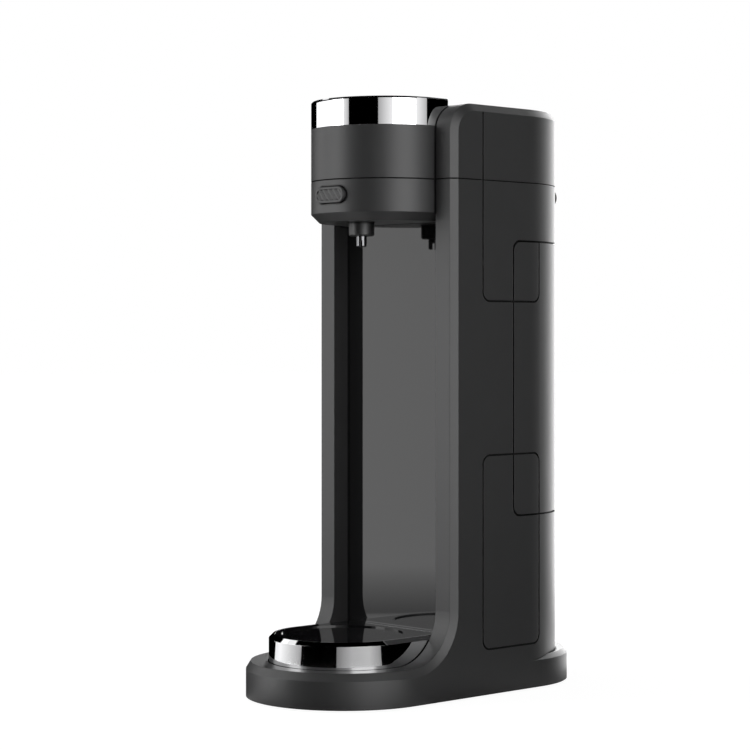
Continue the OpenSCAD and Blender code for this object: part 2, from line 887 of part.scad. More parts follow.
module cover_screws() {
    color("silver") for (p = cover_boss_points)
        translate([p[0], p[1], split_z - cover_boss_h]) rotate([180, 0, 0]) screw(cover_screw_l);
}

// Head

module neck_holes(z) {
    both_sides() rod_y(panel_back_y - neck_screw_l, panel_back_y + over, neck_screw_x, z, screw_r + fit);
}

module head_lower() {
    c = head_chamfer;
    color("#3c3c3e") difference() {
        union() {
            between_z(head_z + c, split_z) u_plan(head_r, head_y, panel_back_y);
            u_slope(head_r - c, head_r, head_y, panel_back_y, head_z, head_z + c);
            box(-head_r, head_r, neck_y, panel_back_y, head_z, split_z);
        }
        between_z(head_floor_z + c, split_z + over) u_plan(head_inner_r, head_y, hollow_y);
        u_slope(head_inner_r - c, head_inner_r, head_y, hollow_y, head_floor_z, head_floor_z + c);
        duct();
        rod_z(head_z - over, head_floor_z + over, 0, nozzle_y, collar_neck_r + fit);
        neck_holes(neck_screw_z[0]);
        translate([0, 0, button_z]) along_y(head_front_y - over, head_y - head_inner_r / 2)
            slot(button_w + 2 * play, button_h + 2 * play);
    }
}

module head_upper() {
    cy = front_y + top_front_r;
    cz = top_z - top_front_r;
    color("#3c3c3e") difference() {
        union() {
            between_z(split_z, band_z) u_plan(head_r, head_y, panel_back_y);
            intersection() {
                box(-head_r, head_r, neck_y, panel_back_y, band_z - over, top_z);
                rod_x(-half_w, half_w, cy, cz, top_front_r);
            }
        }
        between_z(split_z - over, band_z - head_wall) u_plan(head_inner_r, head_y, hollow_y);
        duct();
        neck_holes(neck_screw_z[1]);
        between_z(band_z, top_z + over) u_plan(head_r + joint_gap, head_y, joint_gap - band_rear);
        between_z(split_z - over, split_z + seam_h) difference() {
            u_plan(head_r + over, head_y, hollow_y);
            u_plan(head_r - seam_d, head_y, hollow_y + over);
        }
    }
}

module chrome_band() {
    z1 = band_top_z - band_edge;
    color("#d8d8dc") difference() {
        union() {
            between_z(band_z, z1) u_plan(head_r, head_y, -band_rear);
            u_slope(head_r, head_r - band_edge, head_y, -band_rear, z1, band_top_z);
        }
        between_z(band_z - over, lid_z0 - band_ledge)
            u_plan(head_r - band_wall, head_y, -band_rear - band_wall);
        between_z(band_z - over, band_top_z)
            u_plan(head_r - band_wall - band_ledge, head_y, -band_rear - band_wall - band_ledge);
        between_z(lid_z0, band_top_z + over) u_plan(head_r - band_wall, head_y, -band_rear - band_wall);
    }
}

module head_lid() {
    color("#242426") between_z(lid_z0 + fit, lid_z1)
        u_plan(head_r - band_wall - fit, head_y, -band_rear - band_wall - fit);
}

module neck_screws() {
    color("silver") both_sides() for (z = neck_screw_z)
        translate([neck_screw_x, web_y, z]) rotate([-90, 0, 0]) screw(neck_screw_l);
}

// Dispense button

// Prism ridges that lean across the button's sunk face
module button_ridges() {
    pitch = ridge_face_w / ridge_count;
    half = pitch * cos(ridge_a) / 2;
    intersection() {
        along_y(button_y, button_y + ridge_d + fit) slot(ridge_face_w + fit, ridge_face_h + fit);
        for (k = [0 : ridge_count]) translate([(k - ridge_count / 2) * pitch, button_y, 0])
            rotate([0, -ridge_a, 0]) between_z(-button_h, button_h)
                polygon([[-half, ridge_d + fit], [0, 0], [half, ridge_d + fit]]);
    }
}

module dispense_button() {
    c = button_chamfer;
    color("#454548") translate([0, 0, button_z]) {
        difference() {
            union() {
                along_y(button_y + c, flange_y + fit) slot(button_w, button_h);
                intersection() {
                    along_y(button_y, button_y + c) slot(button_w, button_h);
                    union() {
                        for (s = [-1, 1]) rod_y(button_y, button_y + c, s * (button_w - button_h) / 2, 0,
                            button_h / 2 - c, button_h / 2);
                        along_x((button_h - button_w) / 2, (button_w - button_h) / 2) polygon([
                            [button_y, c - button_h / 2], [button_y + c, -button_h / 2],
                            [button_y + c, button_h / 2], [button_y, button_h / 2 - c]
                        ]);
                    }
                }
            }
            along_y(button_y - over, button_y + ridge_d) slot(ridge_face_w, ridge_face_h);
        }
        button_ridges();
        along_y(flange_y, flange_y + flange_t) slot(flange_w, flange_h);
        rod_y(flange_y, stem_end_y, 0, 0, stem_r);
    }
}

// Points along the spring's wire, from the flange to the bracket
function spring_points() = [
    for (k = [0 : spring_sides * spring_turns]) [
        spring_r * cos(360 / spring_sides * k),
        spring_y + spring_wire_r + (spring_l - 2 * spring_wire_r) * k / (spring_sides * spring_turns),
        button_z + spring_r * sin(360 / spring_sides * k)
    ]
];

module button_spring() {
    color("silver") lead(spring_points(), spring_wire_r, 6);
}

module switch_plunger() {
    color("#8a2f2a") rod_y(stem_end_y, switch_y + plunger_in, 0, button_z, plunger_r);
}

module micro_switch() {
    color("#202022") difference() {
        box(-switch_half, switch_half, switch_y, bracket_y, button_z - switch_half, button_z + switch_half);
        rod_y(switch_y - over, switch_y + plunger_in + button_travel + play, 0, button_z, plunger_r + fit);
    }
}

module switch_bracket() {
    color("#4a4a4c") {
        box(-bracket_half_w, bracket_half_w, bracket_y, bracket_rear_y,
            head_floor_z, button_z + bracket_rise);
        box(-bracket_half_w, bracket_half_w, bracket_y - bracket_foot_l, bracket_rear_y,
            head_floor_z, head_floor_z + bracket_t);
    }
}

// Nozzle and aerator

module nozzle_collar() {
    z0 = head_z - collar_h;
    z1 = head_z + collar_neck_h;
    color("#2e2e30") difference() {
        union() {
            rod_z(z0, z0 + collar_edge, 0, nozzle_y, collar_r - collar_edge, collar_r);
            rod_z(z0 + collar_edge, head_z, 0, nozzle_y, collar_r);
            rod_z(head_z, z1, 0, nozzle_y, collar_neck_r);
        }
        rod_z(z0 - over, z1 + over, 0, nozzle_y, collar_bore_r);
        rod_z(z1 - aerator_plug_h, z1 + over, 0, nozzle_y, aerator_plug_r);
    }
}

module nozzle_tip() {
    z1 = head_z - collar_h;
    z0 = z1 - tip_h;
    color("#d8d8dc") difference() {
        union() {
            rod_z(z0, z0 + tip_edge, 0, nozzle_y, tip_r - tip_edge, tip_r);
            rod_z(z0 + tip_edge, z1, 0, nozzle_y, tip_r);
            rod_z(z1, z1 + aerator_plug_h, 0, nozzle_y, collar_bore_r - fit);
        }
        rod_z(z0 - over, z1 + aerator_plug_h + over, 0, nozzle_y, tip_bore_r);
        for (a = [45, 135]) translate([0, nozzle_y, z0]) rotate(a)
            cube([3 * tip_r, tip_slot_w, 2 * tip_slot_h], center = true);
    }
}

module nozzle_nut() {
    color("#5a5a5c") difference() {
        translate([0, nozzle_y, head_floor_z]) cylinder(h = nut_h, r = nut_r, $fn = 6);
        rod_z(head_floor_z - over, head_floor_z + nut_h + over, 0, nozzle_y, collar_neck_r + fit);
    }
}

module aerator_chamber() {
    t = aerator_wall;
    color("#b8bcc0") difference() {
        union() {
            rod_z(aerator_z0, aerator_z1, 0, nozzle_y, aerator_r);
            rod_z(aerator_z0 - aerator_plug_h, aerator_z0, 0, nozzle_y, aerator_plug_r - fit);
            rod_y(nozzle_y, nozzle_y + aerator_r + barb_l, 0, hose_z, barb_r);
            rod_x(0, aerator_r + air_stub_l, nozzle_y, hose_z, port_r);
        }
        rod_z(aerator_z0 + t, aerator_z1 - t, 0, nozzle_y, aerator_r - t);
        rod_z(aerator_z0 - aerator_plug_h - over, aerator_z0 + t + over, 0, nozzle_y, collar_bore_r);
        rod_y(nozzle_y, nozzle_y + aerator_r + barb_l + over, 0, hose_z, port_r);
        rod_x(0, aerator_r + air_stub_l + over, nozzle_y, hose_z, air_bore_r);
    }
}

module air_valve() {
    x0 = aerator_r + joint_gap;
    color("#6a7078") difference() {
        rod_x(x0, x0 + valve_l, nozzle_y, hose_z, valve_r);
        rod_x(x0 - over, aerator_r + air_stub_l + fit, nozzle_y, hose_z, port_r + fit);
        rod_x(x0, x0 + valve_l + over, nozzle_y, hose_z, air_bore_r);
    }
}

// Wine path

module inlet_spigot() {
    c = spigot_edge;
    color("#18181a") difference() {
        union() {
            rod_y(spigot_flange_y, spigot_y0 + over, 0, hose_z, spigot_neck_r);
            rod_y(spigot_y0, spigot_end_y - c, 0, hose_z, spigot_r);
            rod_y(spigot_end_y - c, spigot_end_y, 0, hose_z, spigot_r, spigot_r - c);
            rod_y(spigot_flange_y, spigot_flange_y + spigot_flange_t, 0, hose_z, spigot_flange_r);
            rod_y(spigot_flange_y - barb_l, spigot_flange_y + over, 0, hose_z, barb_r);
        }
        rod_y(spigot_flange_y - barb_l - over, spigot_end_y, 0, hose_z, port_r);
        rod_y(spigot_flange_y + spigot_flange_t, spigot_end_y + over, 0, hose_z, spigot_bore_r);
    }
}

module inlet_grommet() {
    y0 = spigot_flange_y + spigot_flange_t;
    y1 = back_y - wall - back_sag;
    color("#101010") difference() {
        union() {
            rod_y(y0, y1, 0, hose_z, grommet_lip_r);
            rod_y(y0, back_y + grommet_lip_t, 0, hose_z, grommet_r);
            rod_y(back_y + fit, back_y + grommet_lip_t, 0, hose_z, grommet_lip_r);
        }
        rod_y(y0 - over, back_y + grommet_lip_t + over, 0, hose_z, spigot_neck_r + fit);
    }
}

module wine_tube(y0, y1) {
    difference() {
        rod_y(y0, y1, 0, hose_z, tube_r);
        rod_y(y0 - over, y1 + over, 0, hose_z, tube_bore_r);
    }
}

module inlet_tube() {
    color("#c9cdd0") wine_tube(pump_y1, spigot_flange_y);
}

module outlet_tube() {
    color("#c9cdd0") wine_tube(nozzle_y + aerator_r + joint_gap, pump_y0);
}

// Gear pump

function involute(r) = let (a = acos(min(1, gear_base_r / r))) tan(a) * 180 / PI - a;
function tooth_half(r) = gear_half_a + involute(gear_r) - involute(max(r, gear_base_r));
function flank_r(i) = i == 0 ? gear_root_r : gear_base_r + (gear_tip_r - gear_base_r) * (i - 1) / flank_steps;
function gear_points() = [
    for (k = [0 : gear_teeth - 1]) each concat(
        [for (i = [0 : flank_steps + 1]) let (r = flank_r(i), a = 360 * k / gear_teeth - tooth_half(r))
            [r * cos(a), r * sin(a)]],
        [for (i = [flank_steps + 1 : -1 : 0]) let (r = flank_r(i), a = 360 * k / gear_teeth + tooth_half(r))
            [r * cos(a), r * sin(a)]]
    )
];

module pump_gear(x, turn, bore_r) {
    translate([x, pump_at, hose_z - gear_t / 2]) rotate(turn) difference() {
        linear_extrude(gear_t) polygon(gear_points());
        translate([0, 0, -over]) cylinder(h = gear_t + 2 * over, r = bore_r);
    }
}

module drive_gear() {
    color("#c8b27a") pump_gear(-gear_x, 0, shaft_r + fit / 2);
}

module driven_gear() {
    color("#c8b27a") pump_gear(gear_x, gear_teeth % 2 == 0 ? 180 / gear_teeth : 0, pin_r + fit);
}

module driven_pin() {
    color("silver") rod_z(pump_floor_z + pump_wall / 2, pump_rim_z, gear_x, pump_at, pin_r);
}

module pump_housing() {
    color("#2a2a2c") difference() {
        union() {
            box(-pump_half_w, pump_half_w, pump_y0, pump_y1, pump_floor_z, pump_rim_z);
            rod_y(pump_y0 - barb_l, pump_y1 + barb_l, 0, hose_z, barb_r);
        }
        for (s = [-1, 1])
            rod_z(pump_floor_z + pump_wall, pump_rim_z + over, s * gear_x, pump_at, pump_bore_r);
        rod_y(pump_y0 - barb_l - over, pump_y1 + barb_l + over, 0, hose_z, port_r);
        rod_z(pump_floor_z - over, pump_floor_z + pump_wall + over, -gear_x, pump_at, shaft_r + fit);
        rod_z(pump_floor_z + pump_wall / 2, pump_rim_z + over, gear_x, pump_at, pin_r + fit / 2);
        for (p = pump_screw_points)
            rod_z(pump_top_z - pump_screw_l - over, pump_rim_z + over, p[0], p[1], screw_r + fit);
    }
}

module pump_cover() {
    color("#38383a") difference() {
        box(-pump_half_w, pump_half_w, pump_y0, pump_y1, pump_rim_z, pump_top_z);
        for (p = pump_screw_points)
            rod_z(pump_rim_z - over, pump_top_z + over, p[0], p[1], screw_r + fit);
    }
}

module pump_screws() {
    color("silver") for (p = pump_screw_points)
        translate([p[0], p[1], pump_top_z]) screw(pump_screw_l);
}

module pump_motor() {
    c = motor_edge;
    color("#9aa0a6") difference() {
        union() {
            rod_z(motor_z0 + c, pump_floor_z, -gear_x, pump_at, motor_r);
            rod_z(motor_z0, motor_z0 + c, -gear_x, pump_at, motor_r - c, motor_r);
            rod_z(motor_z0 - motor_boss_h, motor_z0, -gear_x, pump_at, motor_boss_r);
        }
        rod_z(pump_floor_z - shaft_in, pump_floor_z + over, -gear_x, pump_at, shaft_r + fit);
    }
}

module motor_shaft() {
    color("silver") rod_z(pump_floor_z - shaft_in + play, hose_z + gear_t / 2, -gear_x, pump_at, shaft_r);
}

module pump_shelf() {
    color("#48484a") difference() {
        box(-shelf_half_w, shelf_half_w, shelf_y0, shelf_y1, shelf_z, shelf_z + shelf_t);
        rod_z(shelf_z - over, shelf_z + shelf_t + over, -gear_x, pump_at, motor_r + play);
        for (p = shelf_points) rod_z(shelf_z - over, shelf_z + shelf_t + over, p[0], p[1], screw_r + fit);
    }
}

module shelf_screws() {
    color("silver") for (p = shelf_points) translate([p[0], p[1], shelf_z + shelf_t]) screw(shelf_screw_l);
}

// Power

module battery_holder() {
    color("#232325") difference() {
        box(-holder_w / 2, holder_w / 2, web_y, web_y + holder_d, battery_z, battery_top_z);
        box(holder_wall - holder_w / 2, holder_w / 2 - holder_wall,
            web_y + holder_wall, web_y + holder_d + over,
            battery_z + holder_wall, battery_top_z - holder_wall);
        for (p = holder_points) rod_y(web_y - over, web_y + holder_wall + over, p[0], p[1], screw_r + fit);
    }
}

module battery_cells() {
    color("#3f6f9f") both_sides()
        rod_z(battery_z + holder_wall + joint_gap, battery_z + holder_wall + joint_gap + cell_l,
            cell_x, web_y + holder_wall + cell_r + joint_gap, cell_r);
}

module board_plug(x, z) {
    box(x - plug_w / 2, x + plug_w / 2, board_face_y, board_face_y + plug_d, z, z + plug_h);
}

module control_board() {
    color("#2f5d3a") difference() {
        union() {
            box(-board_w / 2, board_w / 2, board_y, board_face_y, board_z, board_top_z);
            for (x = [battery_plug_x, charge_plug_x]) board_plug(x, board_z + plug_in);
            for (x = [motor_plug_x, switch_plug_x]) board_plug(x, board_top_z - plug_h - plug_in);
            box(-chip_half, chip_half, board_face_y, board_face_y + chip_t, board_mid_z - chip_half,
                board_mid_z + chip_half);
            rod_y(board_face_y, board_face_y + capacitor_l, switch_plug_x, board_mid_z, capacitor_r);
        }
        for (p = board_points) rod_y(board_y - over, board_face_y + over, p[0], p[1], screw_r + fit);
    }
}

module wall_screws() {
    color("silver") {
        for (p = board_points)
            translate([p[0], board_face_y, p[1]]) rotate([-90, 0, 0]) screw(wall_screw_l);
        for (p = holder_points)
            translate([p[0], web_y + holder_wall, p[1]]) rotate([-90, 0, 0])
                screw(holder_screw_l, flat_head_h);
    }
}

module charge_board() {
    color("#2f5d3a") box(-charge_board_w / 2, charge_board_w / 2, charge_board_y0, charge_board_y1,
        charge_board_z, charge_board_z + charge_board_t);
}

module charge_socket() {
    y0 = socket_end_y - socket_l;
    color("silver") translate([0, 0, socket_z]) difference() {
        along_y(y0, socket_end_y) slot(socket_w, socket_h);
        along_y(y0 + socket_floor, socket_end_y + over)
            slot(socket_w - 2 * socket_shell, socket_h - 2 * socket_shell);
    }
}

// Leads between the power pieces

module battery_lead() {
    x = battery_plug_x;
    color("#a03028") lead([
        [x, plug_y, battery_top_z + joint_gap], [x, plug_y, (battery_top_z + board_z) / 2],
        [x, plug_y, board_z + plug_in - joint_gap]
    ], lead_r);
}

module motor_lead() {
    x = -gear_x - motor_r / 2;
    z0 = board_top_z - plug_in + joint_gap;
    z1 = motor_z0 - joint_gap;
    color("#a03028") lead(route([
        [motor_plug_x, plug_y, z0], [motor_plug_x, plug_y, z0 + lead_run],
        [motor_plug_x, plug_y + 2 * lead_r, (z0 + z1) / 2], [x, pump_at, z1 - lead_run], [x, pump_at, z1]
    ]), lead_r);
}

module switch_lead() {
    x = switch_plug_x;
    x1 = bracket_half_w - lead_r;
    z0 = board_top_z - plug_in + joint_gap;
    z1 = head_floor_z + 3 * lead_r;
    z2 = z1 + lead_r / 2;
    color("#303a60") lead(route([
        [x, plug_y, z0], [x, plug_y, z0 + lead_run], [x, plug_y, z1 - 2 * lead_run],
        [x, web_y + 2 * lead_r, z1], [x, panel_y, z1], [x, nozzle_y + aerator_r, z1],
        [x - lead_r, nozzle_y, z1], [x1 + 2 * lead_r, bracket_rear_y + 4 * lead_r, z2],
        [x1, bracket_rear_y + 2 * lead_r, z2], [x1, bracket_rear_y + joint_gap, z2]
    ]), lead_r);
}

module charge_lead() {
    x = 2 * lead_r;
    x1 = holder_w / 2 + 3 * lead_r;
    y0 = socket_end_y - socket_l - joint_gap;
    z0 = charge_board_z + charge_board_t + lead_r + joint_gap;
    color("#a03028") lead(route([
        [x, y0, socket_z], [x, y0 - lead_run / 2, socket_z], [2 * x, (y0 + column_back) / 2, z0],
        [x1, column_back / 2, z0], [x1, plug_y + lead_run / 2, z0 + lead_run / 2], [x1, plug_y, battery_z],
        [x1, plug_y, battery_top_z], [charge_plug_x, plug_y, board_z - lead_run / 2],
        [charge_plug_x, plug_y, board_z + plug_in - joint_gap]
    ]), lead_r);
}

// Drip tray

module tray_ring() {
    c = tray_chamfer;
    color("#d8d8dc") difference() {
        union() {
            between_z(tray_z0, tray_z1 - c) u_plan(tray_r, tray_y, tray_back_y);
            u_slope(tray_r, tray_r - c, tray_y, tray_back_y, tray_z1 - c, tray_z1);
        }
        between_z(tray_z0 - over, tray_z1 + over)
            u_plan(tray_r - tray_wall - tray_ledge, tray_y, tray_back_y - tray_wall - tray_ledge);
        between_z(tray_z0 - over, tray_z1 - plate_t - tray_ledge)
            u_plan(tray_r - tray_wall, tray_y, tray_back_y - tray_wall);
        between_z(tray_z1 - plate_t, tray_z1 + over)
            u_plan(tray_r - tray_wall, tray_y, tray_back_y - tray_wall);
    }
}

module tray_plate() {
    color("#202022") difference() {
        between_z(tray_z1 - plate_t, tray_z1)
            u_plan(tray_r - tray_wall - fit, tray_y, tray_back_y - tray_wall - fit);
        rod_z(tray_z1 - dish_d, tray_z1 + over, 0, tray_y, dish_r);
    }
}

lower_body();
top_cover();
rear_cover();
mirror_panel();
bottom_plate();
bottom_screws();
base_pad();
cover_screws();
head_lower();
head_upper();
chrome_band();
head_lid();
neck_screws();
dispense_button();
button_spring();
switch_plunger();
micro_switch();
switch_bracket();
nozzle_collar();
nozzle_tip();
nozzle_nut();
aerator_chamber();
air_valve();
inlet_spigot();
inlet_grommet();
inlet_tube();
outlet_tube();
pump_housing();
pump_cover();
pump_screws();
drive_gear();
driven_gear();
driven_pin();
pump_motor();
motor_shaft();
pump_shelf();
shelf_screws();
battery_holder();
battery_cells();
control_board();
wall_screws();
charge_board();
charge_socket();
battery_lead();
motor_lead();
switch_lead();
charge_lead();
tray_ring();
tray_plate();
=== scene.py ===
"""Dresses the wine aerator's solid model: finishes, small fittings, studio light and camera."""

import logging
import math
from collections.abc import Mapping, Sequence
from dataclasses import dataclass
from enum import Enum

import bmesh
import bpy
from mathutils import Matrix, Vector


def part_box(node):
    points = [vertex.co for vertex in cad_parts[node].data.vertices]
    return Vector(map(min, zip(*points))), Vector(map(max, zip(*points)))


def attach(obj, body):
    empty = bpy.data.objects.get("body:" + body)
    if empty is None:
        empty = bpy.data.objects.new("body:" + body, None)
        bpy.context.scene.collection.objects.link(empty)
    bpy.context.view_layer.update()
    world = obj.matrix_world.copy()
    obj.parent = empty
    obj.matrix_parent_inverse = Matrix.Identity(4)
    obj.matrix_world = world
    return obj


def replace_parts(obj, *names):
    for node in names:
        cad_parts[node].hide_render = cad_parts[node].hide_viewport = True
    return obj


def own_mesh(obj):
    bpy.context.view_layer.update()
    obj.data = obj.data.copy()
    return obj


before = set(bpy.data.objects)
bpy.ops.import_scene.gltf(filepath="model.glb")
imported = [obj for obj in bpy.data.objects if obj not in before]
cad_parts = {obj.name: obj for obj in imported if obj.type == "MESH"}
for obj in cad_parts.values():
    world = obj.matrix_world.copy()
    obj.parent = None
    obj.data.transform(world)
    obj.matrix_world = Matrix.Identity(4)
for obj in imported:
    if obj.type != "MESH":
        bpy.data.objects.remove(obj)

Colour = tuple[float, float, float]
Point = tuple[float, float, float]
Pair = tuple[float, float]
FIXED_BODY = "frame"
PHOTO_SIDE_PX = 750
SENSOR_MM = 36.0
SHARP_DEG = 35.0
WELD_M = 1e-6
NEAR_M = 1e-5
EDGE_SAMPLES = 4
# Near-black of the matt diffuse that paints shade into creases.
CREASE_SHADE_COLOUR: Colour = (0.003, 0.003, 0.003)
MIX_SHARE, MIX_FIRST, MIX_SECOND, MIX_RESULT = 0, 6, 7, 2
Ring = list[bmesh.types.BMVert]
log = logging.getLogger("wine_aerator")


class Slot(Enum):
    """The record's material slots."""

    CHARCOAL = "charcoal"
    GLOSS_PANEL = "gloss_panel"
    CHROME = "chrome"
    GLOSS_BLACK = "gloss_black"
    BLACK_PLASTIC = "black_plastic"
    RUBBER = "rubber"
    STEEL = "steel"
    MOTOR_CAN = "motor_can"
    GEAR_RESIN = "gear_resin"
    SWITCH_RED = "switch_red"
    CLEAR_RESIN = "clear_resin"
    SILICONE = "silicone"
    CELL_WRAP = "cell_wrap"
    CIRCUIT_BOARD = "circuit_board"
    LEAD_RED = "lead_red"
    LEAD_BLUE = "lead_blue"


class Wire:
    """A socket in a node tree, with the operators that shader maths is written in."""

    def __init__(self, graph: "Graph", socket: bpy.types.NodeSocket) -> None:
        """Keeps the socket and the graph that it belongs to."""
        self.graph = graph
        self.socket = socket

    def _maths(self, operation: str, first: "Wire | float", second: "Wire | float") -> "Wire":
        """Adds one Math node.

        Args:
            operation: Blender's name of the operation.
            first: The first value.
            second: The second value.

        Returns:
            The result's socket.
        """
        return self.graph.add("ShaderNodeMath", {"operation": operation}, {0: first, 1: second})

    def __add__(self, other: "Wire | float") -> "Wire":
        """Sum of two values."""
        return self._maths("ADD", self, other)

    __radd__ = __add__

    def __sub__(self, other: "Wire | float") -> "Wire":
        """Difference of two values."""
        return self._maths("SUBTRACT", self, other)

    def __rsub__(self, other: float) -> "Wire":
        """A number less this value."""
        return self._maths("SUBTRACT", other, self)

    def __mul__(self, other: "Wire | float") -> "Wire":
        """Product of two values."""
        return self._maths("MULTIPLY", self, other)

    __rmul__ = __mul__

    def __gt__(self, other: "Wire | float") -> "Wire":
        """One where this value is the larger, and nought elsewhere."""
        return self._maths("GREATER_THAN", self, other)

    def __or__(self, other: "Wire | float") -> "Wire":
        """The larger of two values."""
        return self._maths("MAXIMUM", self, other)

    def __and__(self, other: "Wire | float") -> "Wire":
        """The smaller of two values."""
        return self._maths("MINIMUM", self, other)


class Graph:
    """The nodes of one material or of the world."""

    def __init__(self, tree: bpy.types.NodeTree) -> None:
        """Starts from an empty tree."""
        self.tree = tree
        tree.nodes.clear()

    def add(
        self,
        kind: str,
        settings: Mapping[str, object] | None = None,
        inputs: Mapping[str | int, object] | None = None,
        output: str | int = 0,
    ) -> Wire | None:
        """Adds any node.

        Args:
            kind: The node's type.
            settings: The node's own settings, set before its sockets.
            inputs: Values or wires by socket.
            output: The socket that is handed back.

        Returns:
            The chosen output, or nothing from a node that has none.
        """
        node = self.tree.nodes.new(kind)
        for name, value in (settings or {}).items():
            setattr(node, name, value)
        for key, value in (inputs or {}).items():
            if isinstance(value, Wire):
                self.tree.links.new(value.socket, node.inputs[key])
            else:
                node.inputs[key].default_value = value
        return Wire(self, node.outputs[output]) if node.outputs else None

    def place(self) -> Wire:
        """Coordinates in metres that ride with the piece."""
        return self.add("ShaderNodeTexCoord", output="Object")

    def noise(self, per_m: float, octaves: float, stretch: Point = (1.0, 1.0, 1.0)) -> Wire:
        """Noise about one half.

        Args:
            per_m: Blotches per metre.
            octaves: How many finer layers it has.
            stretch: Factors on the coordinates, below 1 along a grain.

        Returns:
            The noise, from 0 to 1.
        """
        inputs = {"Vector": self.place(), "Scale": stretch}
        at = self.add("ShaderNodeMapping", {"vector_type": "POINT"}, inputs)
        return self.add("ShaderNodeTexNoise", None, {"Vector": at, "Scale": per_m, "Detail": octaves})

    def rounded(self, radius: float) -> Wire:
        """The normal of a surface whose edges are rounded to a radius in metres."""
        return self.add("ShaderNodeBevel", {"samples": EDGE_SAMPLES}, {"Radius": radius})

    def blend(self, share: Wire | float, first: Colour | Wire, second: Colour | Wire) -> Wire:
        """Mixes two colours.

        Args:
            share: How much of the second colour shows.
            first: The first colour.
            second: The second colour.

        Returns:
            The mixed colour.
        """
        ends = [c if isinstance(c, Wire) else (*c, 1.0) for c in (first, second)]
        inputs = {MIX_SHARE: share, MIX_FIRST: ends[0], MIX_SECOND: ends[1]}
        return self.add("ShaderNodeMix", {"data_type": "RGBA"}, inputs, MIX_RESULT)

    def bump(self, height: Wire, depth: float, normal: Wire | None = None) -> Wire:
        """Turns a height into a normal.

        Args:
            height: The height, from 0 to 1.
            depth: The height's full depth in metres.
            normal: A normal to start from.

        Returns:
            The bumped normal.
        """
        inputs = {"Height": height, "Strength": 1.0, "Distance": depth}
        if normal is not None:
            inputs["Normal"] = normal
        return self.add("ShaderNodeBump", None, inputs)

    def surface(self, inputs: Mapping[str, object], painted_crease_shade: Wire | None = None) -> None:
        """Ends a material in one surface shader.

        Args:
            inputs: The shader's values or wires by socket.
            painted_crease_shade: How much painted shade, a near-black matt diffuse, is mixed in.
        """
        shader = self.add("ShaderNodeBsdfPrincipled", None, inputs)
        # Painted shade: a near-black matt diffuse is mixed in by how far the surface lies in creases.
        if painted_crease_shade is not None:
            dark = self.add("ShaderNodeBsdfDiffuse", None, {"Color": (*CREASE_SHADE_COLOUR, 1.0)})
            shader = self.add("ShaderNodeMixShader", None, {0: painted_crease_shade, 1: shader, 2: dark})
        self.add("ShaderNodeOutputMaterial", None, {"Surface": shader})


@dataclass(frozen=True)
class Finish:
    """A surface finish: its slot, its colour and how rough it is."""

    slot: Slot
    colour: Colour
    roughness: float

    def make(self) -> bpy.types.Material:
        """Makes the material.

        Returns:
            The material, named after its slot.
        """
        material = bpy.data.materials.new("finish_" + self.slot.value)
        material.use_nodes = True
        material.diffuse_color = (*self.colour, 1.0)
        self.paint(Graph(material.node_tree))
        return material

    def shade(self, factor: float) -> Colour:
        """The colour times a factor."""
        return tuple(min(1.0, level * factor) for level in self.colour)

    def paint(self, graph: Graph) -> None:
        """Adds the finish's nodes to an empty graph."""
        raise NotImplementedError


@dataclass(frozen=True)
class MouldedPlastic(Finish):
    """Moulded plastic with a spark-eroded grain, faint mottling, rubbed edges and painted shade in its
    creases.
    """

    grain_per_m: float = 2600.0
    grain_depth: float = 0.00002
    blotches_per_m: float = 46.0
    mottle: float = 0.10
    specks_per_m: float = 900.0
    speck_spread: float = 0.06
    edge_r: float = 0.0005
    edge_gain: float = 5.0
    edge_shine: float = 0.6
    edge_tint: float = 1.5
    edge_polish: float = 0.06
    # Painted shade in creases: how far the AO node looks, its gain, and the most of the near-black matt
    # diffuse that is mixed in.
    crease_shade_r: float = 0.0016
    crease_shade_gain: float = 2.6
    crease_shade_depth: float = 0.9
    shine: float = 0.5
    ior: float = 1.5

    def paint(self, graph: Graph) -> None:
        """Mixes the mottled colour with paler rubbed edges and painted shade in creases, over the grain.

        Args:
            graph: The material's nodes.
        """
        blotch = graph.noise(self.blotches_per_m, octaves=3.0)
        speck = graph.noise(self.specks_per_m, octaves=2.0)
        rounded = graph.rounded(self.edge_r)
        facing = graph.add("ShaderNodeNewGeometry", output="Normal")
        cosine = graph.add("ShaderNodeVectorMath", {"operation": "DOT_PRODUCT"},
                           {0: rounded, 1: facing}, "Value")
        edge = ((1.0 - cosine) * self.edge_gain) & 1.0
        body = graph.blend(blotch, self.shade(1 - self.mottle), self.shade(1 + self.mottle))
        rubbed = graph.blend(edge * self.edge_shine, body, self.shade(self.edge_tint))
        # Painted shade: where the AO node finds the surface occluded, it turns near-black and matt.
        clear = graph.add("ShaderNodeAmbientOcclusion", {"samples": EDGE_SAMPLES},
                          {"Distance": self.crease_shade_r}, "AO")
        painted_crease_shade = ((1.0 - clear) * self.crease_shade_gain) & self.crease_shade_depth
        grain = graph.noise(self.grain_per_m, octaves=3.0)
        middling = self.roughness - self.speck_spread / 2
        graph.surface({
            "Base Color": rubbed,
            "Roughness": middling + self.speck_spread * speck - self.edge_polish * edge,
            "IOR": self.ior,
            "Specular IOR Level": self.shine,
            "Normal": graph.bump(grain, self.grain_depth, rounded),
        }, painted_crease_shade)


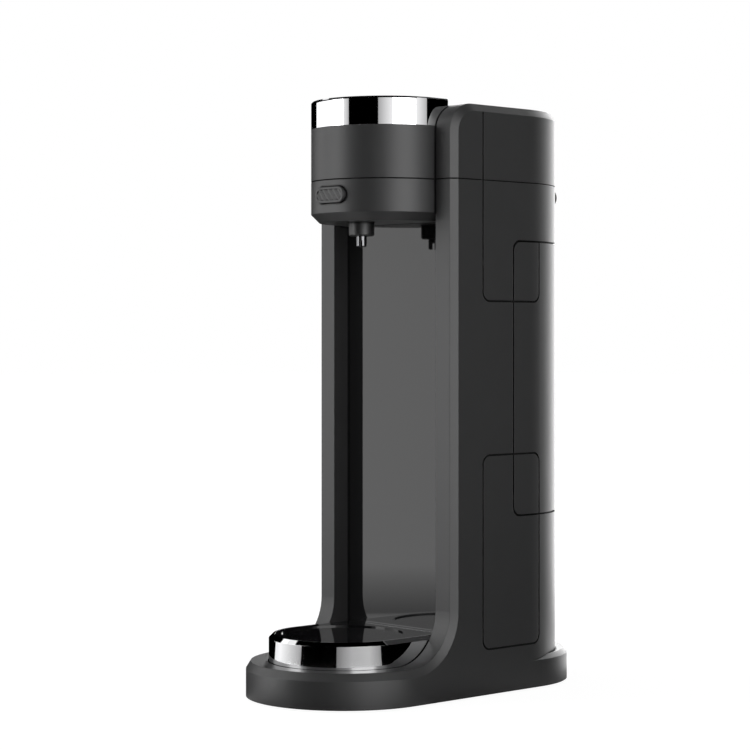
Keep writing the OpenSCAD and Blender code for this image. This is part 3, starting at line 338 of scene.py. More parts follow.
@dataclass(frozen=True)
class GlossPlastic(Finish):
    """Polished plastic with a trace of fingerprints."""

    smears_per_m: float = 24.0
    smear_stretch: Point = (1.0, 1.0, 0.5)
    smear_haze: float = 0.05
    dust_per_m: float = 1800.0
    dust_level: float = 0.76
    dust_cover: float = 0.4
    dust_tint: float = 2.5
    dust_haze: float = 0.15
    waves_per_m: float = 60.0
    wave_depth: float = 0.000004
    ior: float = 1.5

    def paint(self, graph: Graph) -> None:
        """Lets broad smears and fine dust change the gloss.

        Args:
            graph: The material's nodes.
        """
        smear = graph.noise(self.smears_per_m, octaves=4.0, stretch=self.smear_stretch)
        dust = graph.noise(self.dust_per_m, octaves=1.0) > self.dust_level
        waves = graph.noise(self.waves_per_m, octaves=1.0)
        graph.surface({
            "Base Color": graph.blend(dust * self.dust_cover, self.colour, self.shade(self.dust_tint)),
            "Roughness": self.roughness + self.smear_haze * smear * smear + self.dust_haze * dust,
            "IOR": self.ior,
            "Normal": graph.bump(waves, self.wave_depth),
        })


@dataclass(frozen=True)
class PlatedMetal(Finish):
    """Mirror plating with faint smears."""

    edge_r: float = 0.0001
    smears_per_m: float = 30.0
    smear_stretch: Point = (1.0, 1.0, 0.4)
    smear_tint: float = 0.94
    smear_haze: float = 0.05

    def paint(self, graph: Graph) -> None:
        """Lets the smears roughen and darken the plating a little.

        Args:
            graph: The material's nodes.
        """
        smear = graph.noise(self.smears_per_m, octaves=4.0, stretch=self.smear_stretch)
        graph.surface({
            "Base Color": graph.blend(smear, self.colour, self.shade(self.smear_tint)),
            "Metallic": 1.0,
            "Roughness": self.roughness + self.smear_haze * smear * smear,
            "Normal": graph.rounded(self.edge_r),
        })


@dataclass(frozen=True)
class BareMetal(Finish):
    """Drawn or rolled metal with fine lines along one direction."""

    stretch: Point = (1.0, 1.0, 0.04)
    lines_per_m: float = 1800.0
    line_cover: float = 0.4
    line_tint: float = 1.12
    line_depth: float = 0.00002
    line_haze: float = 0.12
    polish: float = 0.05
    tarnish_per_m: float = 70.0
    tarnish_tint: float = 0.78

    def paint(self, graph: Graph) -> None:
        """Draws the lines in colour, roughness and depth.

        Args:
            graph: The material's nodes.
        """
        line = graph.noise(self.lines_per_m, octaves=3.0, stretch=self.stretch)
        tarnish = graph.noise(self.tarnish_per_m, octaves=3.0)
        worn = graph.blend(tarnish, self.colour, self.shade(self.tarnish_tint))
        graph.surface({
            "Base Color": graph.blend(line * self.line_cover, worn, self.shade(self.line_tint)),
            "Metallic": 1.0,
            "Roughness": self.roughness - self.polish + self.line_haze * line,
            "Normal": graph.bump(line, self.line_depth),
        })


@dataclass(frozen=True)
class SoftRubber(Finish):
    """Matt rubber with a fine pebbled skin and a dusty bloom."""

    pebbles_per_m: float = 1400.0
    pebble_depth: float = 0.00006
    bloom_per_m: float = 38.0
    bloom_tint: float = 1.5
    bloom_haze: float = 0.10

    def paint(self, graph: Graph) -> None:
        """Pebbles the skin and dusts it unevenly.

        Args:
            graph: The material's nodes.
        """
        pebbles = graph.add("ShaderNodeTexVoronoi", {"feature": "F1"},
                            {"Vector": graph.place(), "Scale": self.pebbles_per_m})
        bloom = graph.noise(self.bloom_per_m, octaves=3.0)
        graph.surface({
            "Base Color": graph.blend(bloom, self.colour, self.shade(self.bloom_tint)),
            "Roughness": self.roughness + self.bloom_haze * bloom,
            "Normal": graph.bump(pebbles, self.pebble_depth),
        })


@dataclass(frozen=True)
class ClearResin(Finish):
    """Clear or milky resin that light passes through."""

    clearness: float = 0.9
    ior: float = 1.5
    clouds_per_m: float = 60.0
    cloud_tint: float = 0.9
    cloud_haze: float = 0.06
    ripples_per_m: float = 240.0
    ripple_depth: float = 0.00002

    def paint(self, graph: Graph) -> None:
        """Clouds the resin a little and ripples its skin.

        Args:
            graph: The material's nodes.
        """
        cloud = graph.noise(self.clouds_per_m, octaves=3.0)
        ripples = graph.noise(self.ripples_per_m, octaves=2.0)
        graph.surface({
            "Base Color": graph.blend(cloud, self.colour, self.shade(self.cloud_tint)),
            "Roughness": self.roughness + self.cloud_haze * cloud,
            "Transmission Weight": self.clearness,
            "IOR": self.ior,
            "Normal": graph.bump(ripples, self.ripple_depth),
        })


@dataclass(frozen=True)
class ShrinkWrap(Finish):
    """Thin film shrunk on a cell, with a pale band at its end and faint wrinkles."""

    band: Colour = (0.62, 0.62, 0.60)
    band_pitch: float = 0.0325
    band_share: float = 0.12
    wrinkles_per_m: float = 320.0
    wrinkle_stretch: Point = (1.0, 1.0, 0.15)
    wrinkle_depth: float = 0.00003
    wrinkle_haze: float = 0.12
    fade_per_m: float = 50.0
    fade_tint: float = 1.3
    coat: float = 0.3

    def paint(self, graph: Graph) -> None:
        """Repeats the band along the cells and wrinkles the film.

        Args:
            graph: The material's nodes.
        """
        height = graph.add("ShaderNodeSeparateXYZ", None, {"Vector": graph.place()}, "Z")
        turn = graph.add("ShaderNodeMath", {"operation": "FRACT"}, {0: height * (1.0 / self.band_pitch)})
        wrinkle = graph.noise(self.wrinkles_per_m, octaves=3.0, stretch=self.wrinkle_stretch)
        fade = graph.noise(self.fade_per_m, octaves=2.0)
        film = graph.blend(fade, self.colour, self.shade(self.fade_tint))
        graph.surface({
            "Base Color": graph.blend(1.0 - (turn > self.band_share), film, self.band),
            "Roughness": self.roughness + self.wrinkle_haze * wrinkle,
            "Coat Weight": self.coat,
            "Normal": graph.bump(wrinkle, self.wrinkle_depth),
        })


@dataclass(frozen=True)
class SolderMask(Finish):
    """Printed board: green mask over tracks, with bare tinned pads."""

    tracks_per_m: float = 620.0
    track_jitter: float = 0.25
    track_w: float = 0.10
    track_tint: float = 2.2
    track_haze: float = 0.1
    pads_per_m: float = 330.0
    pad_jitter: float = 0.6
    pad_r: float = 0.22
    tin: Colour = (0.55, 0.53, 0.48)
    relief: float = 0.00005

    def paint(self, graph: Graph) -> None:
        """Shows the tracks as paler lines, and the pads as tinned spots.

        Args:
            graph: The material's nodes.
        """
        at = graph.place()
        seam = graph.add("ShaderNodeTexVoronoi", {"feature": "DISTANCE_TO_EDGE"},
                         {"Vector": at, "Scale": self.tracks_per_m, "Randomness": self.track_jitter})
        track = 1.0 - (seam > self.track_w)
        spot = graph.add("ShaderNodeTexVoronoi", {"feature": "F1"},
                         {"Vector": at, "Scale": self.pads_per_m, "Randomness": self.pad_jitter})
        pad = 1.0 - (spot > self.pad_r)
        mask = graph.blend(track, self.colour, self.shade(self.track_tint))
        graph.surface({
            "Base Color": graph.blend(pad, mask, self.tin),
            "Metallic": pad,
            "Roughness": self.roughness + self.track_haze * track,
            "Normal": graph.bump(track | pad, self.relief),
        })


@dataclass(frozen=True)
class Insulation(Finish):
    """Extruded lead insulation with a slight sheen and handling marks."""

    marks_per_m: float = 140.0
    mark_tint: float = 0.15
    mark_haze: float = 0.12
    grain_per_m: float = 1500.0
    grain_depth: float = 0.00001

    def paint(self, graph: Graph) -> None:
        """Varies the tint and gloss along the lead.

        Args:
            graph: The material's nodes.
        """
        mark = graph.noise(self.marks_per_m, octaves=3.0)
        grain = graph.noise(self.grain_per_m, octaves=2.0)
        pale, dark = self.shade(1 + self.mark_tint), self.shade(1 - self.mark_tint)
        graph.surface({
            "Base Color": graph.blend(mark, dark, pale),
            "Roughness": self.roughness + self.mark_haze * mark,
            "Normal": graph.bump(grain, self.grain_depth),
        })


FINISHES: tuple[Finish, ...] = (
    MouldedPlastic(Slot.CHARCOAL, (0.040, 0.040, 0.041), 0.43),
    GlossPlastic(Slot.GLOSS_PANEL, (0.012, 0.012, 0.013), 0.03, ior=1.64),
    PlatedMetal(Slot.CHROME, (0.90, 0.90, 0.91), 0.025),
    GlossPlastic(Slot.GLOSS_BLACK, (0.010, 0.010, 0.011), 0.06),
    MouldedPlastic(Slot.BLACK_PLASTIC, (0.030, 0.030, 0.031), 0.40, grain_depth=0.00001),
    SoftRubber(Slot.RUBBER, (0.014, 0.014, 0.014), 0.70),
    BareMetal(Slot.STEEL, (0.60, 0.60, 0.61), 0.28),
    BareMetal(Slot.MOTOR_CAN, (0.52, 0.53, 0.55), 0.34, stretch=(0.04, 0.04, 1.0)),
    MouldedPlastic(Slot.GEAR_RESIN, (0.74, 0.72, 0.64), 0.42, grain_depth=0.000008, edge_shine=0.2),
    MouldedPlastic(Slot.SWITCH_RED, (0.42, 0.020, 0.016), 0.36, grain_depth=0.000008),
    ClearResin(Slot.CLEAR_RESIN, (0.90, 0.93, 0.95), 0.05),
    ClearResin(Slot.SILICONE, (0.78, 0.78, 0.75), 0.32, clearness=0.55, ior=1.41),
    ShrinkWrap(Slot.CELL_WRAP, (0.016, 0.07, 0.22), 0.24),
    SolderMask(Slot.CIRCUIT_BOARD, (0.010, 0.075, 0.030), 0.30),
    Insulation(Slot.LEAD_RED, (0.40, 0.022, 0.018), 0.40),
    Insulation(Slot.LEAD_BLUE, (0.018, 0.06, 0.32), 0.40),
)
OWN_FINISHES: Mapping[str, Finish] = {
    "inlet_spigot": MouldedPlastic(Slot.BLACK_PLASTIC, (0.008, 0.008, 0.008), 0.50, shine=0.0),
    "nozzle_tip": PlatedMetal(Slot.CHROME, (0.14, 0.14, 0.145), 0.18),
}


class Wardrobe:
    """The materials by slot, and the dressing of the model's own nodes."""

    def __init__(self) -> None:
        """Makes every material once."""
        self.materials = {finish.slot: finish.make() for finish in FINISHES}

    def dress(self, piece: bpy.types.Object, slot: Slot) -> None:
        """Gives a piece one finish.

        Args:
            piece: The piece.
            slot: The slot whose material it takes.
        """
        piece.data.materials.clear()
        piece.data.materials.append(self.materials[slot])

    def dress_nodes(self) -> None:
        """Gives every node of the model the finish of the slot that it was packed with."""
        for name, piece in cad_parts.items():
            slot = Slot(piece.data.materials[0].name.split(".")[0])
            self.dress(piece, slot)
            log.info("%s: %s", name, slot.value)
        for name, finish in OWN_FINISHES.items():
            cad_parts[name].data.materials[0] = finish.make()


def stand(data: bpy.types.ID) -> bpy.types.Object:
    """Puts a mesh, a lamp or a camera in the scene.

    Args:
        data: The thing, whose name the object takes.

    Returns:
        The object.
    """
    made = bpy.data.objects.new(data.name, data)
    bpy.context.scene.collection.objects.link(made)
    return made


def circle(radius: float, sides: int) -> list[Pair]:
    """Points round a circle, from +X."""
    turns = [2 * math.pi * k / sides for k in range(sides)]
    return [(radius * math.cos(turn), radius * math.sin(turn)) for turn in turns]


def cross(reach: float, half: float) -> list[Pair]:
    """Points round a cross of four equal arms, from the arm along +X.

    Args:
        reach: From the middle to the end of an arm.
        half: Half of an arm's width.

    Returns:
        Three points for each arm.
    """
    arm = ((reach, -half), (reach, half), (half, half))
    quarters = [Matrix.Rotation(math.radians(90 * k), 2) for k in range(4)]
    return [tuple(turn @ Vector(point)) for turn in quarters for point in arm]


def spread(count: int, pitch: float) -> list[float]:
    """Even places along a line, about nought."""
    return [(k - (count - 1) / 2) * pitch for k in range(count)]


class Shape:
    """A mesh in the making, in metres."""

    def __init__(self) -> None:
        """Starts from nothing."""
        self.mesh = bmesh.new()

    def block(self, low: Sequence[float], high: Sequence[float], edge: float) -> None:
        """Adds a box with rounded edges.

        Args:
            low: Its lowest corner.
            high: Its highest corner.
            edge: Radius of its edges.
        """
        low, high = Vector(low), Vector(high)
        place = Matrix.Translation((low + high) / 2) @ Matrix.Diagonal((*(high - low), 1.0))
        made = bmesh.ops.create_cube(self.mesh, size=1.0, matrix=place)["verts"]
        edges = list({line for vert in made for line in vert.link_edges})
        bmesh.ops.bevel(self.mesh, geom=edges, offset=edge, segments=2, affect="EDGES", profile=0.5)

    def ring(self, place: Matrix, points: Sequence[Pair], height: float) -> Ring:
        """Adds points at one height of a placed frame, and hands them back."""
        return [self.mesh.verts.new(place @ Vector((x, y, height))) for x, y in points]

    def skin(self, rings: Sequence[Ring]) -> None:
        """Joins rings that have as many points each.

        Args:
            rings: The rings, in order.
        """
        for lower, upper in zip(rings, rings[1:]):
            for k in range(len(lower)):
                self.mesh.faces.new((lower[k - 1], lower[k], upper[k], upper[k - 1]))

    def turned(self, place: Matrix, profile: Sequence[Pair], sides: int, capped: bool = True) -> Ring:
        """Adds a turned form.

        Args:
            place: The frame whose Z is the form's axis.
            profile: Radius and height of each ring.
            sides: Points in a ring.
            capped: Whether the last ring is closed, as the first one is.

        Returns:
            The last ring.
        """
        rings = [self.ring(place, circle(radius, sides), height) for radius, height in profile]
        self.skin(rings)
        self.mesh.faces.new(rings[0])
        if capped:
            self.mesh.faces.new(rings[-1])
        return rings[-1]

    def place(self, name: str, slot: Slot, wardrobe: Wardrobe) -> bpy.types.Object:
        """Turns the mesh into a dressed piece that rides on the fixed body.

        Args:
            name: The piece's name.
            slot: The slot that its finish comes from.
            wardrobe: The finishes.

        Returns:
            The piece.
        """
        bmesh.ops.recalc_face_normals(self.mesh, faces=self.mesh.faces)
        data = bpy.data.meshes.new(name)
        self.mesh.to_mesh(data)
        self.mesh.free()
        data.shade_smooth()
        data.set_sharp_from_angle(angle=math.radians(SHARP_DEG))
        piece = stand(data)
        wardrobe.dress(piece, slot)
        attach(piece, FIXED_BODY)
        log.info("%s: %s", name, slot.value)
        return piece


@dataclass(frozen=True)
class ScrewSize:
    """Sizes of a plain screw, and the frame under its head, whose Z points out of the head."""

    place: Matrix
    head_r: float
    head_h: float
    shank_r: float
    shank_l: float

    @classmethod
    def measure(cls, points: Sequence[Vector], rim_share: float) -> "ScrewSize":
        """Measures a plain screw that lies along an axis.

        Args:
            points: The screw's points.
            rim_share: Share of the head's radius beyond which a point is on the head.

        Returns:
            Its place and sizes.
        """
        low = Vector([min(p[i] for p in points) for i in range(3)])
        high = Vector([max(p[i] for p in points) for i in range(3)])
        size, middle = high - low, (low + high) / 2
        along = min(range(3), key=lambda i: abs(size[i - 1] - size[i - 2]))
        across = [i for i in range(3) if i != along]
        head_r = size[along - 1] / 2
        rim = [p for p in points if max(abs(p[i] - middle[i]) for i in across) > rim_share * head_r]
        out = 1.0 if sum(p[along] for p in rim) / len(rim) > middle[along] else -1.0
        top, tip = (high, low) if out > 0 else (low, high)
        head_h = max(abs(p[along] - top[along]) for p in rim)
        end = [p for p in points if abs(p[along] - tip[along]) < NEAR_M]
        shank_r = max(abs(p[along - 1] - middle[along - 1]) for p in end)
        axis = Vector([out if i == along else 0.0 for i in range(3)])
        under = middle.copy()
        under[along] = top[along] - out * head_h
        place = Matrix.Translation(under) @ axis.to_track_quat("Z", "Y").to_matrix().to_4x4()
        return cls(place, head_r, head_h, shank_r, size[along] - head_h)


@dataclass
class Fittings:
    """A set of small pieces, and the finishes that they take."""

    wardrobe: Wardrobe

    def build(self) -> None:
        """Makes the pieces."""
        raise NotImplementedError


@dataclass
class Screws(Fittings):
    """The machine's screws, with a thread and a cross recess, in the places of the plain ones."""

    nodes: tuple[str, ...] = (
        "bottom_screws", "cover_screws", "neck_screws", "pump_screws", "shelf_screws", "wall_screws"
    )
    rim_share: float = 0.9
    pitch: float = 0.0011
    root_share: float = 0.78
    tip_share: float = 0.3
    turn_places: Pair = (0.25, 0.75)
    crown: tuple[Pair, ...] = ((1.0, 0.0), (1.0, 0.45), (0.9, 0.82), (0.7, 1.0))
    recess_mouth: Point = (0.55, 0.13, 1.0)
    recess_floor: Point = (0.42, 0.09, 0.35)
    sides: int = 24

    @staticmethod
    def solids(node: str) -> list[list[Vector]]:
        """Finds the separate solids of a node.

        Args:
            node: The node's name.

        Returns:
            The points of each solid, in the node's own order of solids.
        """
        mesh = bmesh.new()
        mesh.from_mesh(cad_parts[node].data)
        bmesh.ops.remove_doubles(mesh, verts=mesh.verts, dist=WELD_M)
        left = set(mesh.verts)
        found = []
        for first in mesh.verts:
            if first not in left:
                continue
            left.remove(first)
            reached = [first]
            for vert in reached:
                joined = {line.other_vert(vert) for line in vert.link_edges} & left
                reached += joined
                left -= joined
            found.append([vert.co.copy() for vert in reached])
        mesh.free()
        return found

    def profile(self, size: ScrewSize) -> list[Pair]:
        """Draws half of a screw, from its tip to the crown of its head.

        Args:
            size: The plain screw's sizes.

        Returns:
            Radius and height of each ring.
        """
        root_r = self.root_share * size.shank_r
        root_at, crest_at = self.turn_places
        rings = [(self.tip_share * size.shank_r, -size.shank_l)]
        for k in range(int(size.shank_l / self.pitch)):
            height = k * self.pitch - size.shank_l
            rings += [(root_r, height + root_at * self.pitch), (size.shank_r, height + crest_at * self.pitch)]
        rings.append((root_r, 0.0))
        return rings + [(radius * size.head_r, height * size.head_h) for radius, height in self.crown]

    def add(self, shape: Shape, size: ScrewSize) -> None:
        """Adds one screw in the place of a plain one.

        Args:
            shape: The mesh that it joins.
            size: The plain screw's place and sizes.
        """
        rim = shape.turned(size.place, self.profile(size), self.sides, capped=False)
        mouth, floor = (
            shape.ring(size.place, cross(reach * size.head_r, half * size.head_r), level * size.head_h)
            for reach, half, level in (self.recess_mouth, self.recess_floor)
        )
        for k in range(len(mouth)):
            outer = (rim[2 * k - 1], rim[2 * k], rim[(2 * k + 1) % self.sides])
            shape.mesh.faces.new((*outer, mouth[(k + 1) % len(mouth)], mouth[k]))
        shape.skin([mouth, floor])
        shape.mesh.faces.new(floor)

    def build(self) -> None:
        """Replaces every screw node with detailed screws."""
        for node in self.nodes:
            shape = Shape()
            solids = self.solids(node)
            for points in solids:
                self.add(shape, ScrewSize.measure(points, self.rim_share))
            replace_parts(shape.place("threaded_" + node, Slot.STEEL, self.wardrobe), node)
            log.info("%s: %d screws", node, len(solids))


@dataclass
class ReturnSpring(Fittings):
    """Wound spring behind the button, built at its rest length."""

    wire_r: float = 0.0004
    turns: float = 4.5
    flat_turns: float = 0.5
    steps: int = 28
    sides: int = 10
    travel: float = 0.0015

    def build(self) -> None:
        """Winds the coil with flat ends in the place of the plain one."""
        low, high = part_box("button_spring")
        middle = (low + high) / 2
        arm = Matrix.Translation(((high.x - low.x) / 2 - self.wire_r, 0.0, 0.0))
        rise = high.y - low.y - 2 * self.wire_r
        coil = Shape()
        rings = []
        for k in range(round(self.turns * self.steps) + 1):
            turn = k / self.steps
            share = (turn - self.flat_turns) / (self.turns - 2 * self.flat_turns)
            height = low.y + self.wire_r + rise * min(1.0, max(0.0, share))
            spin = Matrix.Rotation(2 * math.pi * turn, 4, "Y")
            section = Matrix.Translation((middle.x, height, middle.z)) @ spin @ arm
            rings.append(coil.ring(section, circle(self.wire_r, self.sides), 0.0))
        coil.skin(rings)
        coil.mesh.faces.new(rings[0])
        coil.mesh.faces.new(rings[-1])
        spring = coil.place("wound_button_spring", Slot.STEEL, self.wardrobe)
        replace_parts(spring, "button_spring")
        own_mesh(spring)


@dataclass
class ChargePort(Fittings):
    """Tongue and contacts inside the charging socket's shell."""

    foot: float = 0.00135
    mouth_gap: float = 0.0009
    tongue_w: float = 0.0066
    tongue_t: float = 0.0007
    tongue_edge: float = 0.00015
    contacts: int = 6
    contact_pitch: float = 0.0010
    contact_w: float = 0.0005
    contact_t: float = 0.00006
    contact_edge: float = 0.00002

    def build(self) -> None:
        """Stands the tongue on the socket's floor and lays contacts on both its faces."""
        low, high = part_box("charge_socket")
        middle = (low + high) / 2
        y0, y1 = low.y + self.foot, high.y - self.mouth_gap
        tongue, strips = Shape(), Shape()
        half = self.tongue_t / 2
        tongue.block((middle.x - self.tongue_w / 2, y0, middle.z - half),
                     (middle.x + self.tongue_w / 2, y1, middle.z + half), self.tongue_edge)
        for at in spread(self.contacts, self.contact_pitch):
            x = middle.x + at
            for side in (-1, 1):
                near, far = sorted(middle.z + side * (half + t) for t in (-self.contact_t, self.contact_t))
                strips.block((x - self.contact_w / 2, y0, near),
                             (x + self.contact_w / 2, y1 - self.mouth_gap, far), self.contact_edge)
        tongue.place("charge_tongue", Slot.BLACK_PLASTIC, self.wardrobe)
        strips.place("charge_contacts", Slot.STEEL, self.wardrobe)


@dataclass(frozen=True)
class ChargerPart:
    """A part on the charging board: its sides from the middle and from the board's front end."""

    x: Pair
    y: Pair
    height: float
    edge: float


@dataclass
class BoardParts(Fittings):
    """Electronic parts on the control board's face and on the charging board."""

    board_t: float = 0.0016
    skin_t: float = 0.00005
    chip_half: float = 0.007
    chip_t: float = 0.0016
    chip_edge: float = 0.0002
    pins: int = 9
    pin_pitch: float = 0.00127
    pin_w: float = 0.0005
    pin_l: float = 0.0014
    pin_sunk: float = 0.0001
    pin_levels: Pair = (0.0001, 0.0005)
    pin_edge: float = 0.00008
    can_x: float = 0.016
    can_r: float = 0.004
    can_l: float = 0.009
    can_profile: tuple[Pair, ...] = (
        (1.0, 0.0), (1.0, 0.14), (0.93, 0.18), (1.0, 0.22), (1.0, 0.95), (0.9, 1.0)
    )
    can_sides: int = 32
    plug_size: Point = (0.008, 0.006, 0.005)
    plug_edge: float = 0.0003
    plug_in: float = 0.002
    low_plugs: Pair = (-0.014, 0.018)
    high_plugs: Pair = (-0.016, 0.016)
    resistor_size: Point = (0.0020, 0.0007, 0.0012)
    resistor_edge: float = 0.0001
    resistor_columns: tuple[float, ...] = (-0.026, -0.0205, -0.015)
    resistor_pitch: float = 0.0055
    resistor_rows: int = 5
    tin_reach: Pair = (0.3, 0.56)
    tin_depth: float = 1.05
    tin_half: float = 0.52
    charger_parts: tuple[ChargerPart, ...] = (
        ChargerPart((-0.0085, -0.0045), (0.002, 0.006), 0.0011, 0.0002),
        ChargerPart((-0.0085, -0.0035), (0.008, 0.013), 0.0024, 0.0005),
    )

    def build(self) -> None:
        """Fits both boards out."""
        self.chip()
        self.can()
        self.plugs()
        self.resistors()
        self.charger()

    def face(self) -> Pair:
        """Where the control board's face lies along Y, and its middle along Z."""
        low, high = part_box("control_board")
        return low.y + self.board_t, (low.z + high.z) / 2

    def chip(self) -> None:
        """Adds the controller's case and its legs on four sides."""
        face_y, mid_z = self.face()
        half, leg = self.chip_half + self.skin_t, self.pin_w / 2
        y0, y1 = (face_y + level for level in self.pin_levels)
        case, legs = Shape(), Shape()
        case.block((-half, face_y, mid_z - half), (half, face_y + self.chip_t + self.skin_t, mid_z + half),
                   self.chip_edge)
        for at in spread(self.pins, self.pin_pitch):
            for side in (-1, 1):
                near, far = sorted((side * (half - self.pin_sunk), side * (half + self.pin_l)))
                legs.block((at - leg, y0, mid_z + near), (at + leg, y1, mid_z + far), self.pin_edge)
                legs.block((near, y0, mid_z + at - leg), (far, y1, mid_z + at + leg), self.pin_edge)
        case.place("chip_case", Slot.BLACK_PLASTIC, self.wardrobe)
        legs.place("chip_legs", Slot.STEEL, self.wardrobe)

    def can(self) -> None:
        """Adds the capacitor's crimped sleeve."""
        face_y, mid_z = self.face()
        axis = Vector((0.0, 1.0, 0.0)).to_track_quat("Z", "Y").to_matrix().to_4x4()
        radius, length = self.can_r + self.skin_t, self.can_l + self.skin_t
        profile = [(across * radius, along * length) for across, along in self.can_profile]
        sleeve = Shape()
        sleeve.turned(Matrix.Translation((self.can_x, face_y, mid_z)) @ axis, profile, self.can_sides)
        sleeve.place("capacitor_sleeve", Slot.CELL_WRAP, self.wardrobe)

    def plugs(self) -> None:
        """Adds the shells of the four lead connectors."""
        face_y, _ = self.face()
        low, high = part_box("control_board")
        width, depth, height = self.plug_size
        half, skin = width / 2 + self.skin_t, self.skin_t
        shells = Shape()
        places = [(x, low.z + self.plug_in) for x in self.low_plugs]
        places += [(x, high.z - self.plug_in - height) for x in self.high_plugs]
        for x, z in places:
            shells.block((x - half, face_y, z - skin), (x + half, face_y + depth + skin, z + height + skin),
                         self.plug_edge)
        shells.place("plug_shells", Slot.GEAR_RESIN, self.wardrobe)

    def resistors(self) -> None:
        """Adds rows of small resistors with tinned ends."""
        face_y, mid_z = self.face()
        width, depth, height = self.resistor_size
        edge, tin_half, tin_y = self.resistor_edge, self.tin_half * height, face_y + self.tin_depth * depth
        bodies, ends = Shape(), Shape()
        for x in self.resistor_columns:
            for at in spread(self.resistor_rows, self.resistor_pitch):
                z = mid_z + at
                bodies.block((x - width / 2, face_y, z - height / 2),
                             (x + width / 2, face_y + depth, z + height / 2), edge)
                for side in (-1, 1):
                    near, far = sorted(x + side * share * width for share in self.tin_reach)
                    ends.block((near, face_y, z - tin_half), (far, tin_y, z + tin_half), edge)
        bodies.place("resistor_bodies", Slot.BLACK_PLASTIC, self.wardrobe)
        ends.place("resistor_ends", Slot.STEEL, self.wardrobe)

    def charger(self) -> None:
        """Adds a charging chip and a choke on the small board."""
        low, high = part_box("charge_board")
        parts = Shape()
        for part in self.charger_parts:
            parts.block((part.x[0], low.y + part.y[0], high.z),
                        (part.x[1], low.y + part.y[1], high.z + part.height), part.edge)
        parts.place("charger_parts", Slot.BLACK_PLASTIC, self.wardrobe)


@dataclass
class MotorEnd(Fittings):
    """Insulating end ring and solder tabs at the motor's rear."""

    boss_h: float = 0.002
    boss_r: float = 0.004
    ring_t: float = 0.0006
    ring_share: float = 0.82
    ring_sunk: float = 0.0001
    rim_h: float = 0.7
    rim_share: float = 0.97
    bore_shares: Pair = (1.3, 1.15)
    ring_sides: int = 48
    tab_x: float = 0.0075
    tab_size: Point = (0.0022, 0.0005, 0.0030)
    tab_edge: float = 0.0001

    def build(self) -> None:
        """Hangs the ring and the tabs under the motor's rear face."""
        low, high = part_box("pump_motor")
        middle = (low + high) / 2
        rear_z = low.z + self.boss_h
        radius = self.ring_share * (high.x - low.x) / 2
        lower_bore, upper_bore = (share * self.boss_r for share in self.bore_shares)
        profile = [(radius, self.ring_sunk), (radius, -self.rim_h * self.ring_t),
                   (self.rim_share * radius, -self.ring_t), (lower_bore, -self.ring_t),
                   (upper_bore, self.ring_sunk)]
        ring, tabs = Shape(), Shape()
        ring.turned(Matrix.Translation((middle.x, middle.y, rear_z)), profile, self.ring_sides)
        width, thick, drop = self.tab_size
        for side in (-1, 1):
            x = middle.x + side * self.tab_x
            tabs.block((x - width / 2, middle.y - thick / 2, rear_z - drop),
                       (x + width / 2, middle.y + thick / 2, rear_z), self.tab_edge)
        ring.place("motor_end_ring", Slot.BLACK_PLASTIC, self.wardrobe)
        tabs.place("motor_tabs", Slot.STEEL, self.wardrobe)


@dataclass
class Camera:
    """The camera at the photograph's viewing angle."""

    eye: Point = (1.05704, -1.02751, 0.23066)
    turn_deg: float = 46.722
    focal_px: float = 2240.65
    horizon_px: float = 335.96
    nearest: float = 0.01

    def build(self) -> None:
        """Places a level camera."""
        data = bpy.data.cameras.new("camera")
        data.sensor_width = SENSOR_MM
        data.lens = self.focal_px * SENSOR_MM / PHOTO_SIDE_PX
        data.shift_y = (self.horizon_px - PHOTO_SIDE_PX / 2) / PHOTO_SIDE_PX
        data.clip_start = self.nearest
        camera = stand(data)
        camera.location = self.eye
        camera.rotation_euler = (math.radians(90), 0, math.radians(self.turn_deg))
        bpy.context.scene.camera = camera


@dataclass(frozen=True)
class Panel:
    """One stretch of a ring of reflected panels: its ends and how bright they are."""

    start_deg: float
    end_deg: float
    start_level: float = 0.0
    end_level: float = 0.0

    def steps(self, step_deg: float) -> list[Pair]:
        """Cuts the stretch into even steps.

        Args:
            step_deg: About how wide a step is.

        Returns:
            The angle in radians and the level at each end of a step.
        """
        count = max(1, round((self.end_deg - self.start_deg) / step_deg))
        shares = [k / count for k in range(count + 1)]
        return [(math.radians(self.start_deg + share * (self.end_deg - self.start_deg)),
                 self.start_level + share * (self.end_level - self.start_level)) for share in shares]


@dataclass(frozen=True)
class PanelRow:
    """Panels side by side round a middle: their profile is each ring's radius, height and gain."""

    panels: tuple[Panel, ...]
    profile: tuple[Point, ...]
    middle: Vector


WALL_PANELS: tuple[Panel, ...] = (
    Panel(-180, -177),
    Panel(-177, -160, 1.1, 1.8),
    Panel(-160, -132, 1.5, 1.5),
    Panel(-132, -110, 3.4, 4.4),
    Panel(-110, -100, 0.95, 0.5),
    Panel(-100, -51.5),
    Panel(-51.5, -29, 0.42, 1.0),
    Panel(-29, 8, 4.2, 4.2),
    Panel(8, 27.5, 1.02, 0.5),
    Panel(27.5, 66),
    Panel(66, 95, 0.3, 2.4),
    Panel(95, 137, 4.8, 5.6),
    Panel(137, 180),
)
FLOOR_PANELS: tuple[Panel, ...] = (
    Panel(-180, -162),
    Panel(-162, -146, 0.95, 1.1),
    Panel(-146, -104, 1.1, 0.38),
    Panel(-104, -51),
    Panel(-51, -30, 0.2, 0.46),
    Panel(-30, -5, 0.46, 0.54),
    Panel(-5, 14, 0.54, 0.3),
    Panel(14, 60),
    Panel(60, 74, 0.1, 0.8),
    Panel(74, 110, 2.5, 3.0),
    Panel(110, 180),
)
RING_PANELS: tuple[Panel, ...] = (
    Panel(-180, -138),
    Panel(-138, -125, 0.9, 3.6),
    Panel(-125, -100, 5.0, 3.4),
    Panel(-100, -51, 0.5, 0.5),
    Panel(-51, -30, 0.8, 1.8),
    Panel(-30, 14, 3.1, 2.7),
    Panel(14, 60, 0.35, 0.35),
    Panel(60, 180, 0.3, 0.0),
)
